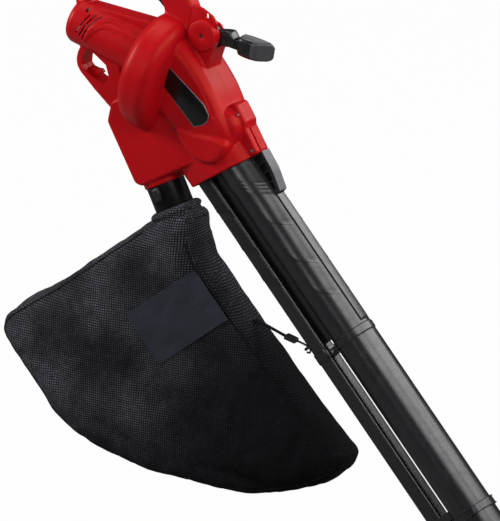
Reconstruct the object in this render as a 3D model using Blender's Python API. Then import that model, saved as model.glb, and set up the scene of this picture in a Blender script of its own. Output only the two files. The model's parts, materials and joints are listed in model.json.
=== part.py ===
# Electric leaf vacuum and blower, held in the hand with its tubes forward and down.
# Lengths here are millimetres and angles are degrees; MM turns lengths into metres.
# The tool frame has x along the suction tube (forward), y to the left and z towards the handle,
# with its origin on the tube's axis at the rim of the housing. The world's origin is the middle
# of the main grip.
import bpy
import bmesh
from math import cos, hypot, pi, radians, sin

MM = 0.001

# Pose of the main axes
TUBE_PITCH = 49.0
MOTOR_RISE = 32.0
NECK_DROP = 15.0

# Fits
GAP = 0.3
WALL = 2.6
PARTING = 0.15

# Suction tube, in two lengths
SUCTION_R = 43.5
SUCTION_WALL = 2.4
SUCTION_SEAT = 78.0
JOINT_AT = 410.0
SPIGOT = 48.0
COLLAR_STEP = 1.8
COLLAR_LENGTH = 16.0
FLANGE_AT = 834.0
FLANGE_PITCH = 16.0
FLANGE_STEP = 5.0
FLANGE_THICK = 1.8
MOUTH_AT = 930.0
MOUTH_SLOPE = 0.5

# Blower tube, a rounded channel under the suction tube
BLOWER_DROP = 82.5
BLOWER_WIDTH = 38.0
BLOWER_HEIGHT = 36.0
BLOWER_ROUND = 9.0
BLOWER_WALL = 2.2
BLOWER_SEAT = 54.0
BLOWER_JOINT = 402.0
BLOWER_SPIGOT = 38.0
BLOWER_END = 895.0
WEB_THICK = 8.0

# Tube socket of the housing
SOCKET_STEP = 9.5
SOCKET_REAR = -62.0
RIM_AT = 3.0
RIM_SLOPE = 0.17

# Motor and fan, along the motor axis from the middle of the fan
FAN_AT = -239.0
BARREL_R = 49.5
BARREL_REAR = -236.0
SCROLL_REAR = -50.0
SCROLL_FRONT = 27.0
SCROLL_MIN = 86.0
SCROLL_GROWTH = 62.0
SCROLL_ROUND = 27.0
SCROLL_FACE_ROUND = 27.0
BEARING_AT = -226.0
BEARING_WIDTH = 8.0
SCREW_DROP = 11.0
SHAFT_R = 4.0
FIELD_THICK = 11.0
ARMATURE_R = 26.0
IMPELLER_R = 74.0
BEARING_R = 11.0
EYE_R = 50.0

# Lower duct, neck and flap
DUCT_HALF = 48.0
NECK_AT = (-66.0, -173.5)
NECK_R = 40.0
NECK_WALL = 2.5
NECK_SEAT = 14.0
NECK_OUT = 76.0
COLLAR_AT = 54.0
COLLAR_THICK = 3.5
FLAP_AT = (-71.0, -103.0)
FLAP_LENGTH = 88.0
FLAP_ANGLE = 42.0
FLAP_SHAFT_R = 4.0

# Main handle, upright coordinates (forward, up) from the tool frame's origin
GRIP_AT = (-255.0, 368.0)
GRIP_HALF_DEPTH = 17.0
COVER_THICK = 1.6
TRIGGER_PIVOT = (-157.0, 327.0)
TRIGGER_HALF = 9.0
DIAL_AT = (-186.0, 375.0)
DIAL_R = 11.5
DIAL_PIN_R = 2.5
DIAL_PIN_HALF = 13.6
INLET_AT = (-386.0, 338.0)
INLET_R = 13.7

# Second handle
HUB_AT = (-64.6, 261.0)
HUB_R = 32.0
HUB_HALF = 30.0
EAR_OUT = 22.0
EAR_R = 20.0
FORK_HALF = 15.0
ARM_R = 18.0
BOLT_R = 4.0
AUX_PITCH = 10.0
AUX_HALF_HEIGHT = 19.0
AUX_HALF_DEPTH = 16.0

# Bag
BAG_HALF = 60.0
BAG_CLOTH = 1.5
PATCH_SIZE = (196.0, 122.0)
PATCH_AT = (-110.0, -325.0)
PATCH_TURN = 36.5

# Rollers
ROLLER_AXLE = (868.0, -142.0)
ROLLER_R = 24.0
ROLLER_WIDTH = 26.0
PLATE_IN = 24.0
PLATE_THICK = 4.0
AXLE_R = 3.0

for old in list(bpy.data.objects):
    bpy.data.objects.remove(old, do_unlink=True)


def look(name, colour, roughness, metallic=0.0):
    material = bpy.data.materials.new(name)
    material.use_nodes = True
    shader = material.node_tree.nodes["Principled BSDF"]
    shader.inputs["Base Color"].default_value = (*colour, 1.0)
    shader.inputs["Roughness"].default_value = roughness
    shader.inputs["Metallic"].default_value = metallic
    material.diffuse_color = (*colour, 1.0)
    return material


RED = look("red_plastic", (0.55, 0.012, 0.02), 0.42)
BLACK = look("black_plastic", (0.02, 0.02, 0.023), 0.4)
GREY = look("grey_soft_grip", (0.05, 0.05, 0.055), 0.7)
CLOTH = look("bag_cloth", (0.018, 0.018, 0.02), 0.9)
SLATE = look("slate_patch", (0.03, 0.03, 0.04), 0.6)
STEEL = look("steel", (0.55, 0.55, 0.56), 0.3, 1.0)
IRON = look("motor_iron", (0.25, 0.24, 0.24), 0.5, 1.0)
COPPER = look("copper", (0.6, 0.3, 0.15), 0.35, 1.0)
WHITE = look("white_plastic", (0.7, 0.7, 0.68), 0.5)


def frame(name, at, turn, parent=None):
    # An empty at (x, z) on the middle plane, turned about y so that positive turns x downwards.
    empty = bpy.data.objects.new(name, None)
    bpy.context.collection.objects.link(empty)
    empty.location = (at[0] * MM, 0.0, at[1] * MM)
    empty.rotation_euler = (0.0, radians(turn), 0.0)
    empty.parent = parent
    return empty


TOOL = frame("tool_frame", (-GRIP_AT[0], -GRIP_AT[1]), TUBE_PITCH)
UPRIGHT = frame("upright_frame", (0.0, 0.0), -TUBE_PITCH, TOOL)
MOTOR = frame("motor_frame", (FAN_AT, 0.0), -MOTOR_RISE, TOOL)
NECK = frame("neck_frame", NECK_AT, NECK_DROP, TOOL)
HUB = frame("hub_frame", HUB_AT, 0.0, UPRIGHT)
AUX = frame("aux_grip_frame", (0.0, 0.0), AUX_PITCH, HUB)


def shape(name, verts, faces, colour=None, parent=TOOL, pivot=(0.0, 0.0, 0.0)):
    # A closed mesh; without a colour it is only a guide for cutting or joining.
    mesh = bpy.data.meshes.new(name)
    mesh.from_pydata([[(v[i] - pivot[i]) * MM for i in range(3)] for v in verts], [], faces)
    bm = bmesh.new()
    bm.from_mesh(mesh)
    bmesh.ops.recalc_face_normals(bm, faces=bm.faces)
    bm.to_mesh(mesh)
    bm.free()
    mesh.shade_smooth()
    mesh.set_sharp_from_angle(angle=radians(34))
    body = bpy.data.objects.new(name, mesh)
    bpy.context.collection.objects.link(body)
    body.location = [c * MM for c in pivot]
    body.parent = parent
    if colour is None:
        body.hide_render = True
        body.display_type = "WIRE"
    else:
        mesh.materials.append(colour)
    return body


def prism(name, outline, low, high, colour=None, **place):
    # An outline of (x, z) points, drawn out along y.
    n = len(outline)
    verts = [(x, low, z) for x, z in outline] + [(x, high, z) for x, z in outline]
    faces = [list(range(n)), list(range(n, 2 * n))]
    faces += [[i, (i + 1) % n, n + (i + 1) % n, n + i] for i in range(n)]
    return shape(name, verts, faces, colour, **place)


def box(name, x, y, z, colour=None, **place):
    corners = [(x[0], z[0]), (x[1], z[0]), (x[1], z[1]), (x[0], z[1])]
    return prism(name, corners, y[0], y[1], colour, **place)


def loft(name, rings, colour=None, ring_shaped=False, **place):
    # Skins rings of equally many points; a ring-shaped loft joins its last ring to its first.
    n = len(rings[0])
    verts = [p for ring in rings for p in ring]
    faces = []
    spans = len(rings) if ring_shaped else len(rings) - 1
    for k in range(spans):
        a, b = k * n, ((k + 1) % len(rings)) * n
        faces += [[a + i, a + (i + 1) % n, b + (i + 1) % n, b + i] for i in range(n)]
    if not ring_shaped:
        faces += [list(range(n)), list(range((len(rings) - 1) * n, len(rings) * n))]
    return shape(name, verts, faces, colour, **place)


def turned(name, profile, sides=32, axis="x", centre=(0.0, 0.0, 0.0), colour=None, **place):
    # Turns a profile of (along, radius) points; flat ends that start on the axis close it,
    # otherwise it is a ring.
    solid = profile[0][1] == 0
    rows = profile[1:-1] if solid else profile
    verts = []
    for along, radius in rows:
        for i in range(sides):
            a = 2 * pi * i / sides
            u, w = radius * cos(a), radius * sin(a)
            point = (along, u, w) if axis == "x" else (u, along, w)
            verts.append(tuple(point[k] + centre[k] for k in range(3)))
    faces = []
    for k in range(len(rows) - (1 if solid else 0)):
        a, b = k * sides, ((k + 1) % len(rows)) * sides
        faces += [[a + i, a + (i + 1) % sides, b + (i + 1) % sides, b + i] for i in range(sides)]
    if solid:
        faces += [list(range(sides)), list(range((len(rows) - 1) * sides, len(rows) * sides))]
    return shape(name, verts, faces, colour, **place)


def rod(name, low, high, radius, sides=24, **place):
    return turned(name, [(low, 0), (low, radius), (high, radius), (high, 0)], sides, **place)


def sleeve(name, low, high, inner, outer, sides=24, **place):
    return turned(name, [(low, inner), (low, outer), (high, outer), (high, inner)], sides, **place)


def join(body, tool, operation, solver="EXACT"):
    step = body.modifiers.new(tool.name, "BOOLEAN")
    step.operation = operation
    step.solver = solver
    step.object = tool


def fuse(body, *tools, solver="EXACT"):
    for tool in tools:
        join(body, tool, "UNION", solver)
    return body


def cut(body, *tools, solver="EXACT"):
    for tool in tools:
        join(body, tool, "DIFFERENCE", solver)
    return body


def soften(body, width, segments=1):
    bevel = body.modifiers.new("soft_edges", "BEVEL")
    bevel.width = width * MM
    bevel.segments = segments
    bevel.limit_method = "ANGLE"
    bevel.angle_limit = radians(40)
    return body


def rounded(half_a, half_b, radius, steps=2):
    # Outline of a rounded rectangle, anticlockwise from its right side.
    points = []
    for corner, (sa, sb) in enumerate([(1, 1), (-1, 1), (-1, -1), (1, -1)]):
        for i in range(steps + 1):
            a = radians(90 * corner + 90 * i / steps)
            points.append((sa * (half_a - radius) + radius * cos(a),
                           sb * (half_b - radius) + radius * sin(a)))
    return points


def inset(outline, distance):
    # Moves each side of an anticlockwise outline inwards by the same distance.
    n = len(outline)
    area = sum(outline[i][0] * outline[(i + 1) % n][1] - outline[(i + 1) % n][0] * outline[i][1]
               for i in range(n))
    side = distance if area > 0 else -distance
    moved = []
    for i in range(n):
        p, q, r = outline[i - 1], outline[i], outline[(i + 1) % n]
        d1, d2 = hypot(q[0] - p[0], q[1] - p[1]), hypot(r[0] - q[0], r[1] - q[1])
        n1 = (-(q[1] - p[1]) / d1, (q[0] - p[0]) / d1)
        n2 = (-(r[1] - q[1]) / d2, (r[0] - q[0]) / d2)
        k = side / (1 + n1[0] * n2[0] + n1[1] * n2[1])
        moved.append((q[0] + k * (n1[0] + n2[0]), q[1] + k * (n1[1] + n2[1])))
    return moved


def from_upright(point):
    # Upright (forward, up) to tool frame (x, z).
    c, s = cos(radians(TUBE_PITCH)), sin(radians(TUBE_PITCH))
    return (point[0] * c - point[1] * s, point[0] * s + point[1] * c)


def from_motor(along, up):
    # Motor frame (along the motor, up) to tool frame (x, z).
    c, s = cos(radians(MOTOR_RISE)), sin(radians(MOTOR_RISE))
    return (FAN_AT + along * c - up * s, along * s + up * c)


def channel(name, low, high, grow, colour=None, low_z=0.0, high_z=0.0, slope=0.0):
    # The blower channel's outline, larger by grow, drawn out along the tube.
    ring = rounded(BLOWER_WIDTH / 2 + grow, BLOWER_HEIGHT / 2 + grow, BLOWER_ROUND + grow)
    rings = []
    for x, lift, lean in ((low, low_z, 0.0), (high, high_z, slope)):
        rings.append([(x + lean * b, a, b - BLOWER_DROP + lift) for a, b in ring])
    return loft(name, rings, colour)


# Housing: outer form

def scroll_radius(turn):
    # Radius of the fan scroll; turn is 0 towards the handle and grows towards the right side.
    if turn > 180:
        return SCROLL_MIN + SCROLL_GROWTH * (0.5 + 0.5 * cos(pi * (turn - 180) / 90))
    return SCROLL_MIN + SCROLL_GROWTH * (turn + 90) / 270


def scroll_ring(along, less, count=30):
    ring = []
    for i in range(count):
        turn = -90 + 360 * i / count
        r = scroll_radius(turn) - less
        ring.append((along, -r * sin(radians(turn)), r * cos(radians(turn))))
    return ring


def scroll(name, low, high, less, rear_round, front_round, steps=3):
    rings = []
    for i in range(steps + 1):
        a = radians(90 * i / steps)
        rings.append(scroll_ring(low + rear_round * (1 - sin(a)), less + rear_round * (1 - cos(a))))
    rings.reverse()
    for i in range(steps):
        a = radians(90 * i / (steps - 1)) if steps > 1 else 0
        rings.append(scroll_ring(high - front_round * (1 - sin(a)), less + front_round * (1 - cos(a))))
    return loft(name, rings, parent=MOTOR)


def tilted_ring(x, z, tilt, half_height, half_width, radius, steps=3):
    c, s = cos(radians(tilt)), sin(radians(tilt))
    return [(x - s * b, a, z + c * b) for a, b in rounded(half_width, half_height, radius, steps)]


COVER_RINGS = [
    (-226, 8, 32, 84, 60, 30), (-190, 14, 22, 76, 60, 26), (-134, 14, 8, 66, 60, 22),
    (-92, 10, 3, 58, 60, 22), (-60, 8, 0, 53, 55, 24), (-36, 6, 0, 50, 53, 26)]
DUCT_OUTLINE = [(-254, -141), (-228, -177), (-94, -206), (-80, -197), (-58, -98), (-58, -60),
                (-150, -34), (-230, -55)]
HANDLE_ROWS = [
    (-352, 250, 19, 17), (-357, 272, 19, 17), (-361, 300, 19, 17), (-358, 328, 19.5, 17),
    (-345, 352, 20, 17), (-318, 366, 20, 17), (-285, 369, 20, 17), (-250, 368, 20, 17),
    (-215, 364, 20.5, 17), (-182, 354, 24, 17.5), (-155, 338, 29, 18), (-136, 314, 34, 19),
    (-126, 285, 37, 20), (-121, 256, 38, 21), (-115, 232, 38, 21)]


def handle_rings(rows, less=0.0, round_share=0.55):
    rings = []
    for i, (x, z, half, depth) in enumerate(rows):
        before, after = rows[max(i - 1, 0)], rows[min(i + 1, len(rows) - 1)]
        dx, dz = after[0] - before[0], after[1] - before[1]
        size = hypot(dx, dz)
        nx, nz = -dz / size, dx / size
        outline = rounded(depth - less, half - less, (depth - less) * round_share)
        rings.append([(x + nx * b, a, z + nz * b) for a, b in outline])
    return rings


barrel = turned("barrel_form", [
    (BARREL_REAR, 0), (BARREL_REAR, BARREL_R - 14), (BARREL_REAR + 5, BARREL_R - 6),
    (BARREL_REAR + 14, BARREL_R - 1), (BARREL_REAR + 24, BARREL_R), (SCROLL_REAR + 12, BARREL_R + 2),
    (SCROLL_REAR + 12, 0)], 32, parent=MOTOR)
scroll_form = scroll("scroll_form", SCROLL_REAR, SCROLL_FRONT, 0.0, SCROLL_ROUND, SCROLL_FACE_ROUND)
cover_form = loft("cover_form", [tilted_ring(*row) for row in COVER_RINGS])

socket_r = SUCTION_R + SOCKET_STEP
socket_outline = [(socket_r * cos(pi * i / 16), socket_r * sin(pi * i / 16)) for i in range(17)]
socket_outline += [(-51, -45), (-36, -98), (-26, -108), (26, -108), (36, -98), (51, -45)]
socket_form = loft("socket_form", [
    [(SOCKET_REAR, a, b) for a, b in socket_outline],
    [(RIM_AT + RIM_SLOPE * b, a, b) for a, b in socket_outline]])

duct_form = soften(prism("duct_form", DUCT_OUTLINE, -DUCT_HALF, DUCT_HALF), 6, 2)
neck_boss = rod("neck_boss", -(NECK_SEAT + 1 + WALL), 3, NECK_R + GAP + WALL, 28, parent=NECK)
spine_outline = [(-356, 256), (-354, 281), (-342, 286), (-196, 270), (-178, 258), (-172, 235),
                 (-200, 215), (-330, 225)]
spine_form = soften(prism("spine_form", spine_outline, -21, 21, parent=UPRIGHT), 5)
handle_form = loft("handle_form", handle_rings(HANDLE_ROWS), parent=UPRIGHT)
hub_form = rod("hub_form", -HUB_HALF, 0, HUB_R, 32, axis="y", parent=HUB)
fuse(hub_form, rod("hub_ear", -10, EAR_OUT, EAR_R, 32, axis="y", parent=HUB))
hub_base = soften(prism("hub_base", [(-95, 252), (-39, 243), (-50, 214), (-60, 182), (-120, 190),
                                     (-130, 235)], -28, 28, parent=UPRIGHT), 4)
eye_plate = soften(prism("eye_plate", [(-96, 285), (-90, 321), (-68, 315), (-45, 302), (-34, 288),
                                       (-38, 262), (-90, 262)], -25, -18, parent=UPRIGHT), 1.5)
loop_plate = soften(prism("loop_plate", [
    (-388, -142), (-381, -160), (-372, -176), (-360, -187), (-346, -191), (-262, -185),
    (-244, -172), (-240, -150), (-262, -120), (-300, -95), (-340, -95), (-370, -118)], -9, 9), 2.5)
ridge_form = soften(prism("ridge_form", [
    (-98, 46), (-98, 84), (-92, 92), (-50, 85), (-42, 78), (14.5, 67.5), (11, 47)], -23, 23), 3)
inlet_boss = rod("inlet_boss", INLET_AT[0], INLET_AT[0] + 30, INLET_R + WALL, 24,
                 centre=(0, 0, INLET_AT[1]), parent=UPRIGHT)

# Housing: hollows
FIELD_R = BARREL_R - WALL - GAP
barrel_hollow = rod("barrel_hollow", BARREL_REAR + WALL + 6, SCROLL_REAR - WALL, BARREL_R - WALL, 32,
                    parent=MOTOR)
scroll_hollow = scroll("scroll_hollow", SCROLL_REAR + WALL, SCROLL_FRONT - WALL, WALL,
                       SCROLL_ROUND - WALL, SCROLL_FACE_ROUND - WALL)
shaft_hole = rod("shaft_hole", SCROLL_REAR - 12, SCROLL_REAR + 20, 19, parent=MOTOR)
eye_hole = rod("eye_hole", SCROLL_FRONT - 8, SCROLL_FRONT + 14, EYE_R, 32, parent=MOTOR)
cover_hollow_rows = [(-206, 12, 28, 74 - WALL, 60 - WALL, 22)]
cover_hollow_rows += [(x, z, tilt, h - WALL, w - WALL, r - WALL)
                      for x, z, tilt, h, w, r in COVER_RINGS[2:]]
cover_hollow = loft("cover_hollow", [tilted_ring(*row) for row in cover_hollow_rows])
duct_hollow = prism("duct_hollow", inset(DUCT_OUTLINE, WALL), -(DUCT_HALF - WALL), DUCT_HALF - WALL)
blower_hole = channel("blower_hole", -(BLOWER_SEAT + 20), 40, GAP)
suction_hole = rod("suction_hole", -SUCTION_SEAT, 60, SUCTION_R + GAP, 32)
neck_hole = rod("neck_hole", -(NECK_SEAT + 1), 30, NECK_R + GAP, 28, parent=NECK)
handle_hollow = loft("handle_hollow", handle_rings(HANDLE_ROWS[1:12], WALL), parent=UPRIGHT)
fork_slot = rod("fork_slot", -(FORK_HALF + GAP), FORK_HALF + GAP, HUB_R + 2, 32, axis="y", parent=HUB)
bolt_hole = rod("bolt_hole", -60, 60, BOLT_R + GAP, 20, axis="y", parent=HUB)
bolt_recess = rod("bolt_recess", -60, -(HUB_HALF - 5), BOLT_R * 2 + GAP, 20, axis="y", parent=HUB)
strap_eye = prism("strap_eye", [(-57 + a, 301 + b) for a, b in rounded(4, 6, 3.9, 2)], -40, 0,
                  parent=UPRIGHT)
loop_opening = prism("loop_opening", [(-347, -152), (-316, -138), (-303, -150), (-302, -162),
                                      (-320, -170), (-338, -168)], -30, 30)
flap_hole = rod("flap_hole", DUCT_HALF - 2 * WALL, DUCT_HALF + 10, FLAP_SHAFT_R + GAP, 20, axis="y",
                centre=(FLAP_AT[0], 0, FLAP_AT[1]))
trigger_slot = prism("trigger_slot", [(-222, 340), (-205, 318), (-165, 292), (-147, 314),
                                      (-158, 356), (-196, 366), (-222, 362)],
                     -(TRIGGER_HALF + GAP), TRIGGER_HALF + GAP, parent=UPRIGHT)
dial_slot = box("dial_slot", (DIAL_AT[0] - DIAL_R - 2, DIAL_AT[0] + DIAL_R + 2), (-5.4, 5.4),
                (DIAL_AT[1] - 6, DIAL_AT[1] + 40), parent=UPRIGHT)
spine_hollow = prism("spine_hollow", [(-328, 236), (-326, 279), (-204, 263), (-192, 240), (-204, 226)],
                     -18, 18, parent=UPRIGHT)
base_hollow = prism("base_hollow", [(-88, 228), (-56, 222), (-60, 200), (-66, 190), (-104, 194),
                                    (-112, 226)], -25, 25, parent=UPRIGHT)
ridge_hollow = prism("ridge_hollow", [(-62, 40), (-62, 78), (-50, 81), (-44, 74), (-12, 68), (-12, 40)],
                     -20, 20)
socket_relief = loft("socket_relief", [[(x, a, b) for a, b in inset(socket_outline, WALL)]
                                       for x in (SOCKET_REAR + 6, -5)])
post_hollow = prism("post_hollow", [(-150, 312), (-114, 330), (-104, 300), (-104, 269), (-150, 282)],
                    -17, 17, parent=UPRIGHT)
dial_bearing = rod("dial_bearing", -(DIAL_PIN_HALF + GAP), DIAL_PIN_HALF + GAP, DIAL_PIN_R + GAP / 2, 16,
                   axis="y", centre=(DIAL_AT[0], 0, DIAL_AT[1]), parent=UPRIGHT)
inlet_hole = rod("inlet_hole", INLET_AT[0] - 10, INLET_AT[0] + 26, INLET_R + GAP, 24,
                 centre=(0, 0, INLET_AT[1]), parent=UPRIGHT)

housing = barrel
SHELL = "MANIFOLD"
fuse(housing, scroll_form, cover_form, socket_form, duct_form, neck_boss, spine_form, handle_form,
     hub_form, hub_base, eye_plate, loop_plate, ridge_form, inlet_boss, solver=SHELL)
cut(housing, barrel_hollow, scroll_hollow, shaft_hole, eye_hole, cover_hollow, duct_hollow,
    blower_hole, suction_hole, neck_hole, handle_hollow, fork_slot, bolt_hole, bolt_recess,
    strap_eye, loop_opening, flap_hole, trigger_slot, dial_slot, dial_bearing, inlet_hole, spine_hollow,
    base_hollow, ridge_hollow, socket_relief, post_hollow, solver=SHELL)

# The cable hook stands in the opening of the retention loop.
cable_hook = soften(prism("cable_hook", [(-346, -172), (-342, -158), (-331, -153), (-321, -144),
                                         (-315, -146), (-321, -155), (-325, -164), (-330, -174)],
                          -6, 6), 1.5)
web_pillar = rod("web_pillar", -48, 48, 7, 12, axis="y", centre=(-34, 0, -54))
POST_SCREW = (-122.0, 302.0)
post_pillar = rod("post_pillar", -18, 18, 7, 12, axis="y", centre=(POST_SCREW[0], 0, POST_SCREW[1]),
                  parent=UPRIGHT)
SPINE_SCREW = from_motor(-201.0, BARREL_R - SCREW_DROP)
pillar_half = (2 * BARREL_R * SCREW_DROP - SCREW_DROP ** 2) ** 0.5 - 1.0
spine_pillar = rod("spine_pillar", -pillar_half, pillar_half, 6.5, 12, axis="y",
                   centre=(SPINE_SCREW[0], 0, SPINE_SCREW[1]))
duct_roof = prism("duct_roof", [(-176, -38), (-150, -31), (-60, -56), (-60, -60), (-150, -35.5), (-178, -43)],
                  -(DUCT_HALF - 1), DUCT_HALF - 1)
fuse(housing, cable_hook, web_pillar, post_pillar, spine_pillar, duct_roof, solver=SHELL)

VENTS = 3
VENT_STEP = 9.0
for i in range(VENTS):
    along = BARREL_REAR + 17 + i * VENT_STEP
    slot = turned(f"vent_{i}", [(along, BARREL_R - 8), (along, BARREL_R + 6),
                                (along + 3.4, BARREL_R + 6), (along + 3.4, BARREL_R - 8)], 24,
                  parent=MOTOR)
    for side in (-1, 1):
        window = box(f"vent_window_{i}_{side}", (along - 2, along + 6), sorted((side * 24, side * 70)),
                     (-30, 24), parent=MOTOR)
        join(window, slot, "INTERSECT", SHELL)
        cut(housing, window, solver=SHELL)

# Screws run across the two shells: place in the tool frame, the depth of the head's seat and
# the side that the head is on, 1 for the right shell.
SCREW_R = 1.7
SCREW_HEAD_R = 3.6
SCREW_HEAD = 2.2
SCREW_TIP = 6.0
SCREWS = [
    ("ridge", (-72, 80), 22.0, 1), ("rim", (2, 60), 20.5, 1), ("web", (-34, -54), 45.0, -1),
    ("loop", (-262, -176), 8.0, -1), ("spine", SPINE_SCREW, pillar_half - 5.0, 1),
    ("post", from_upright(POST_SCREW), 17.0, -1)]
for label, (x, z), seat, side in SCREWS:
    tip = -side * (SCREW_TIP + 1)
    drill = turned(f"drill_{label}", [
        (-tip, 0), (-tip, SCREW_R + GAP), (-side * seat, SCREW_R + GAP),
        (-side * seat, SCREW_HEAD_R + GAP), (-side * 120, SCREW_HEAD_R + GAP), (-side * 120, 0)],
        12, axis="y", centre=(x, 0, z))
    cut(housing, drill, solver=SHELL)
    turned(f"screw_{label}", [
        (side * SCREW_TIP, 0), (side * SCREW_TIP, SCREW_R), (-side * (seat + GAP), SCREW_R),
        (-side * (seat + GAP), SCREW_HEAD_R), (-side * (seat + GAP + SCREW_HEAD), SCREW_HEAD_R - 0.5),
        (-side * (seat + GAP + SCREW_HEAD), 0)], 12, axis="y", centre=(x, 0, z), colour=STEEL)

for name, low, high in (("housing_right", -200, -PARTING), ("housing_left", PARTING, 200)):
    half = box(name, (-700, 300), (low, high), (-400, 400), RED)
    join(half, housing, "INTERSECT", SHELL)

# Motor, from the rear along its axis
FIELD_REAR, FIELD_FRONT = -182.0, -130.0
sleeve("field_stator", FIELD_REAR, FIELD_FRONT, FIELD_R - FIELD_THICK, FIELD_R, 32, parent=MOTOR,
       colour=IRON)
BORE = SHAFT_R + GAP / 2
turned("armature", [
    (FIELD_REAR - 6, BORE), (FIELD_REAR - 6, ARMATURE_R - 9), (FIELD_REAR + 4, ARMATURE_R - 5),
    (FIELD_REAR + 4, ARMATURE_R), (FIELD_FRONT - 4, ARMATURE_R), (FIELD_FRONT - 4, ARMATURE_R - 5),
    (FIELD_FRONT + 6, ARMATURE_R - 9), (FIELD_FRONT + 6, BORE)], 24, parent=MOTOR, colour=COPPER)
sleeve("commutator", -212, -197, BORE, 13, 20, parent=MOTOR, colour=COPPER)
NUT_LENGTH = 8.0
HUB_FRONT = 12.0
rod("motor_shaft", BEARING_AT, HUB_FRONT + NUT_LENGTH + 3, SHAFT_R, 16, parent=MOTOR, colour=STEEL)
for side, name in ((-1, "brush_holder_right"), (1, "brush_holder_left")):
    box(name, (-211, -198), sorted((side * (13 + GAP), side * (FIELD_R - 1.0))), (-6, 6), WHITE,
        parent=MOTOR)
sleeve("rear_bearing", BEARING_AT + 1, BEARING_AT + 1 + BEARING_WIDTH, BORE, BEARING_R, 20,
       parent=MOTOR, colour=STEEL)
sleeve("rear_bearing_bracket", BEARING_AT, BEARING_AT + 2 + BEARING_WIDTH, BEARING_R + GAP, FIELD_R,
       32, parent=MOTOR, colour=BLACK)
sleeve("front_bearing", SCROLL_REAR - 5, SCROLL_REAR - 5 + BEARING_WIDTH, BORE, BEARING_R, 20, parent=MOTOR,
       colour=STEEL)

back_plate = loft("fan_back_plate", [
    scroll_ring(SCROLL_REAR + WALL + GAP, WALL + SCROLL_ROUND - 2.0),
    scroll_ring(SCROLL_REAR + WALL + GAP + 3.2, WALL + SCROLL_ROUND / 2)], BLACK, parent=MOTOR)
plate_boss = rod("plate_boss", SCROLL_REAR - 9, SCROLL_REAR + WALL + 2, 19 - GAP, 24, parent=MOTOR)
plate_bore = rod("plate_bore", SCROLL_REAR - 20, SCROLL_REAR + 5, BEARING_R + GAP, 24, parent=MOTOR)
plate_shaft = rod("plate_shaft", SCROLL_REAR, SCROLL_REAR + 20, SHAFT_R + 1.5, 20, parent=MOTOR)
fuse(back_plate, plate_boss)
cut(back_plate, plate_bore, plate_shaft)


def vaned(name, hub_r, tip_r, vanes, thick, sweep, low, high, **place):
    # A hub with swept blades, seen along the motor axis, drawn out between low and high.
    outline = []
    for k in range(vanes):
        base = 360 * k / vanes
        root = degrees_at(hub_r, thick)
        tip = degrees_at(tip_r, thick)
        middle = (hub_r + tip_r) / 2
        mid = degrees_at(middle, thick)
        outline += [(hub_r, base - root), (middle, base + sweep * 0.35 - mid),
                    (tip_r, base + sweep - tip), (tip_r, base + sweep + tip),
                    (middle, base + sweep * 0.35 + mid), (hub_r, base + root),
                    (hub_r, base + 180 / vanes)]
    points = [(r * cos(radians(a)), r * sin(radians(a))) for r, a in outline]
    return loft(name, [[(low, a, b) for a, b in points], [(high, a, b) for a, b in points]], **place)


def degrees_at(radius, thick):
    return thick / 2 / radius * 180 / pi


cooling_fan = vaned("cooling_fan", 12, 34, 10, 1.8, 14, -112, -100, parent=MOTOR, colour=BLACK)
cut(cooling_fan, rod("cooling_fan_bore", -130, -80, BORE, 16, parent=MOTOR))

BLADE_REAR, BLADE_FRONT = -31.0, 8.0
impeller = turned("impeller", [(BLADE_REAR - 4, 0), (BLADE_REAR - 4, IMPELLER_R),
                               (BLADE_REAR, IMPELLER_R), (BLADE_REAR, 16), (HUB_FRONT, 12),
                               (HUB_FRONT, 0)], 36, parent=MOTOR, colour=BLACK)
blades = vaned("impeller_blades", 10, IMPELLER_R - 1.5, 8, 3.0, -34, BLADE_REAR - 2, BLADE_FRONT,
               parent=MOTOR)
fuse(impeller, blades)
cut(impeller, rod("impeller_bore", -60, 60, BORE, 16, parent=MOTOR))
nut = rod("impeller_nut", HUB_FRONT + GAP, HUB_FRONT + NUT_LENGTH, 8, 6, parent=MOTOR, colour=STEEL)
cut(nut, rod("nut_bore", HUB_FRONT - 10, HUB_FRONT + 30, BORE, 16, parent=MOTOR))

# Intake duct: from the end of the suction tube to the eye of the fan
INTAKE_WALL = 2.4
intake_rows = [(-222, 10.6, 32, 46), (-190, 22, 18, 46), (-150, 19, 4, 45.5), (-110, 6, -2, 44.5),
               (-(SUCTION_SEAT + GAP), 0, 0, SUCTION_R)]


def round_ring(x, z, tilt, radius, count=24):
    c, s = cos(radians(tilt)), sin(radians(tilt))
    return [(x - s * radius * sin(2 * pi * i / count), radius * cos(2 * pi * i / count),
             z + c * radius * sin(2 * pi * i / count)) for i in range(count)]


outer = [round_ring(*row) for row in intake_rows]
inner = [round_ring(x, z, t, r - INTAKE_WALL) for x, z, t, r in intake_rows]
intake = loft("intake_duct", outer + inner[::-1], BLACK, ring_shaped=True)
fuse(intake, sleeve("intake_flange", SCROLL_FRONT - 6.8, SCROLL_FRONT - WALL - GAP, 45,
                    EYE_R + 4, 24, parent=MOTOR))

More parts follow.
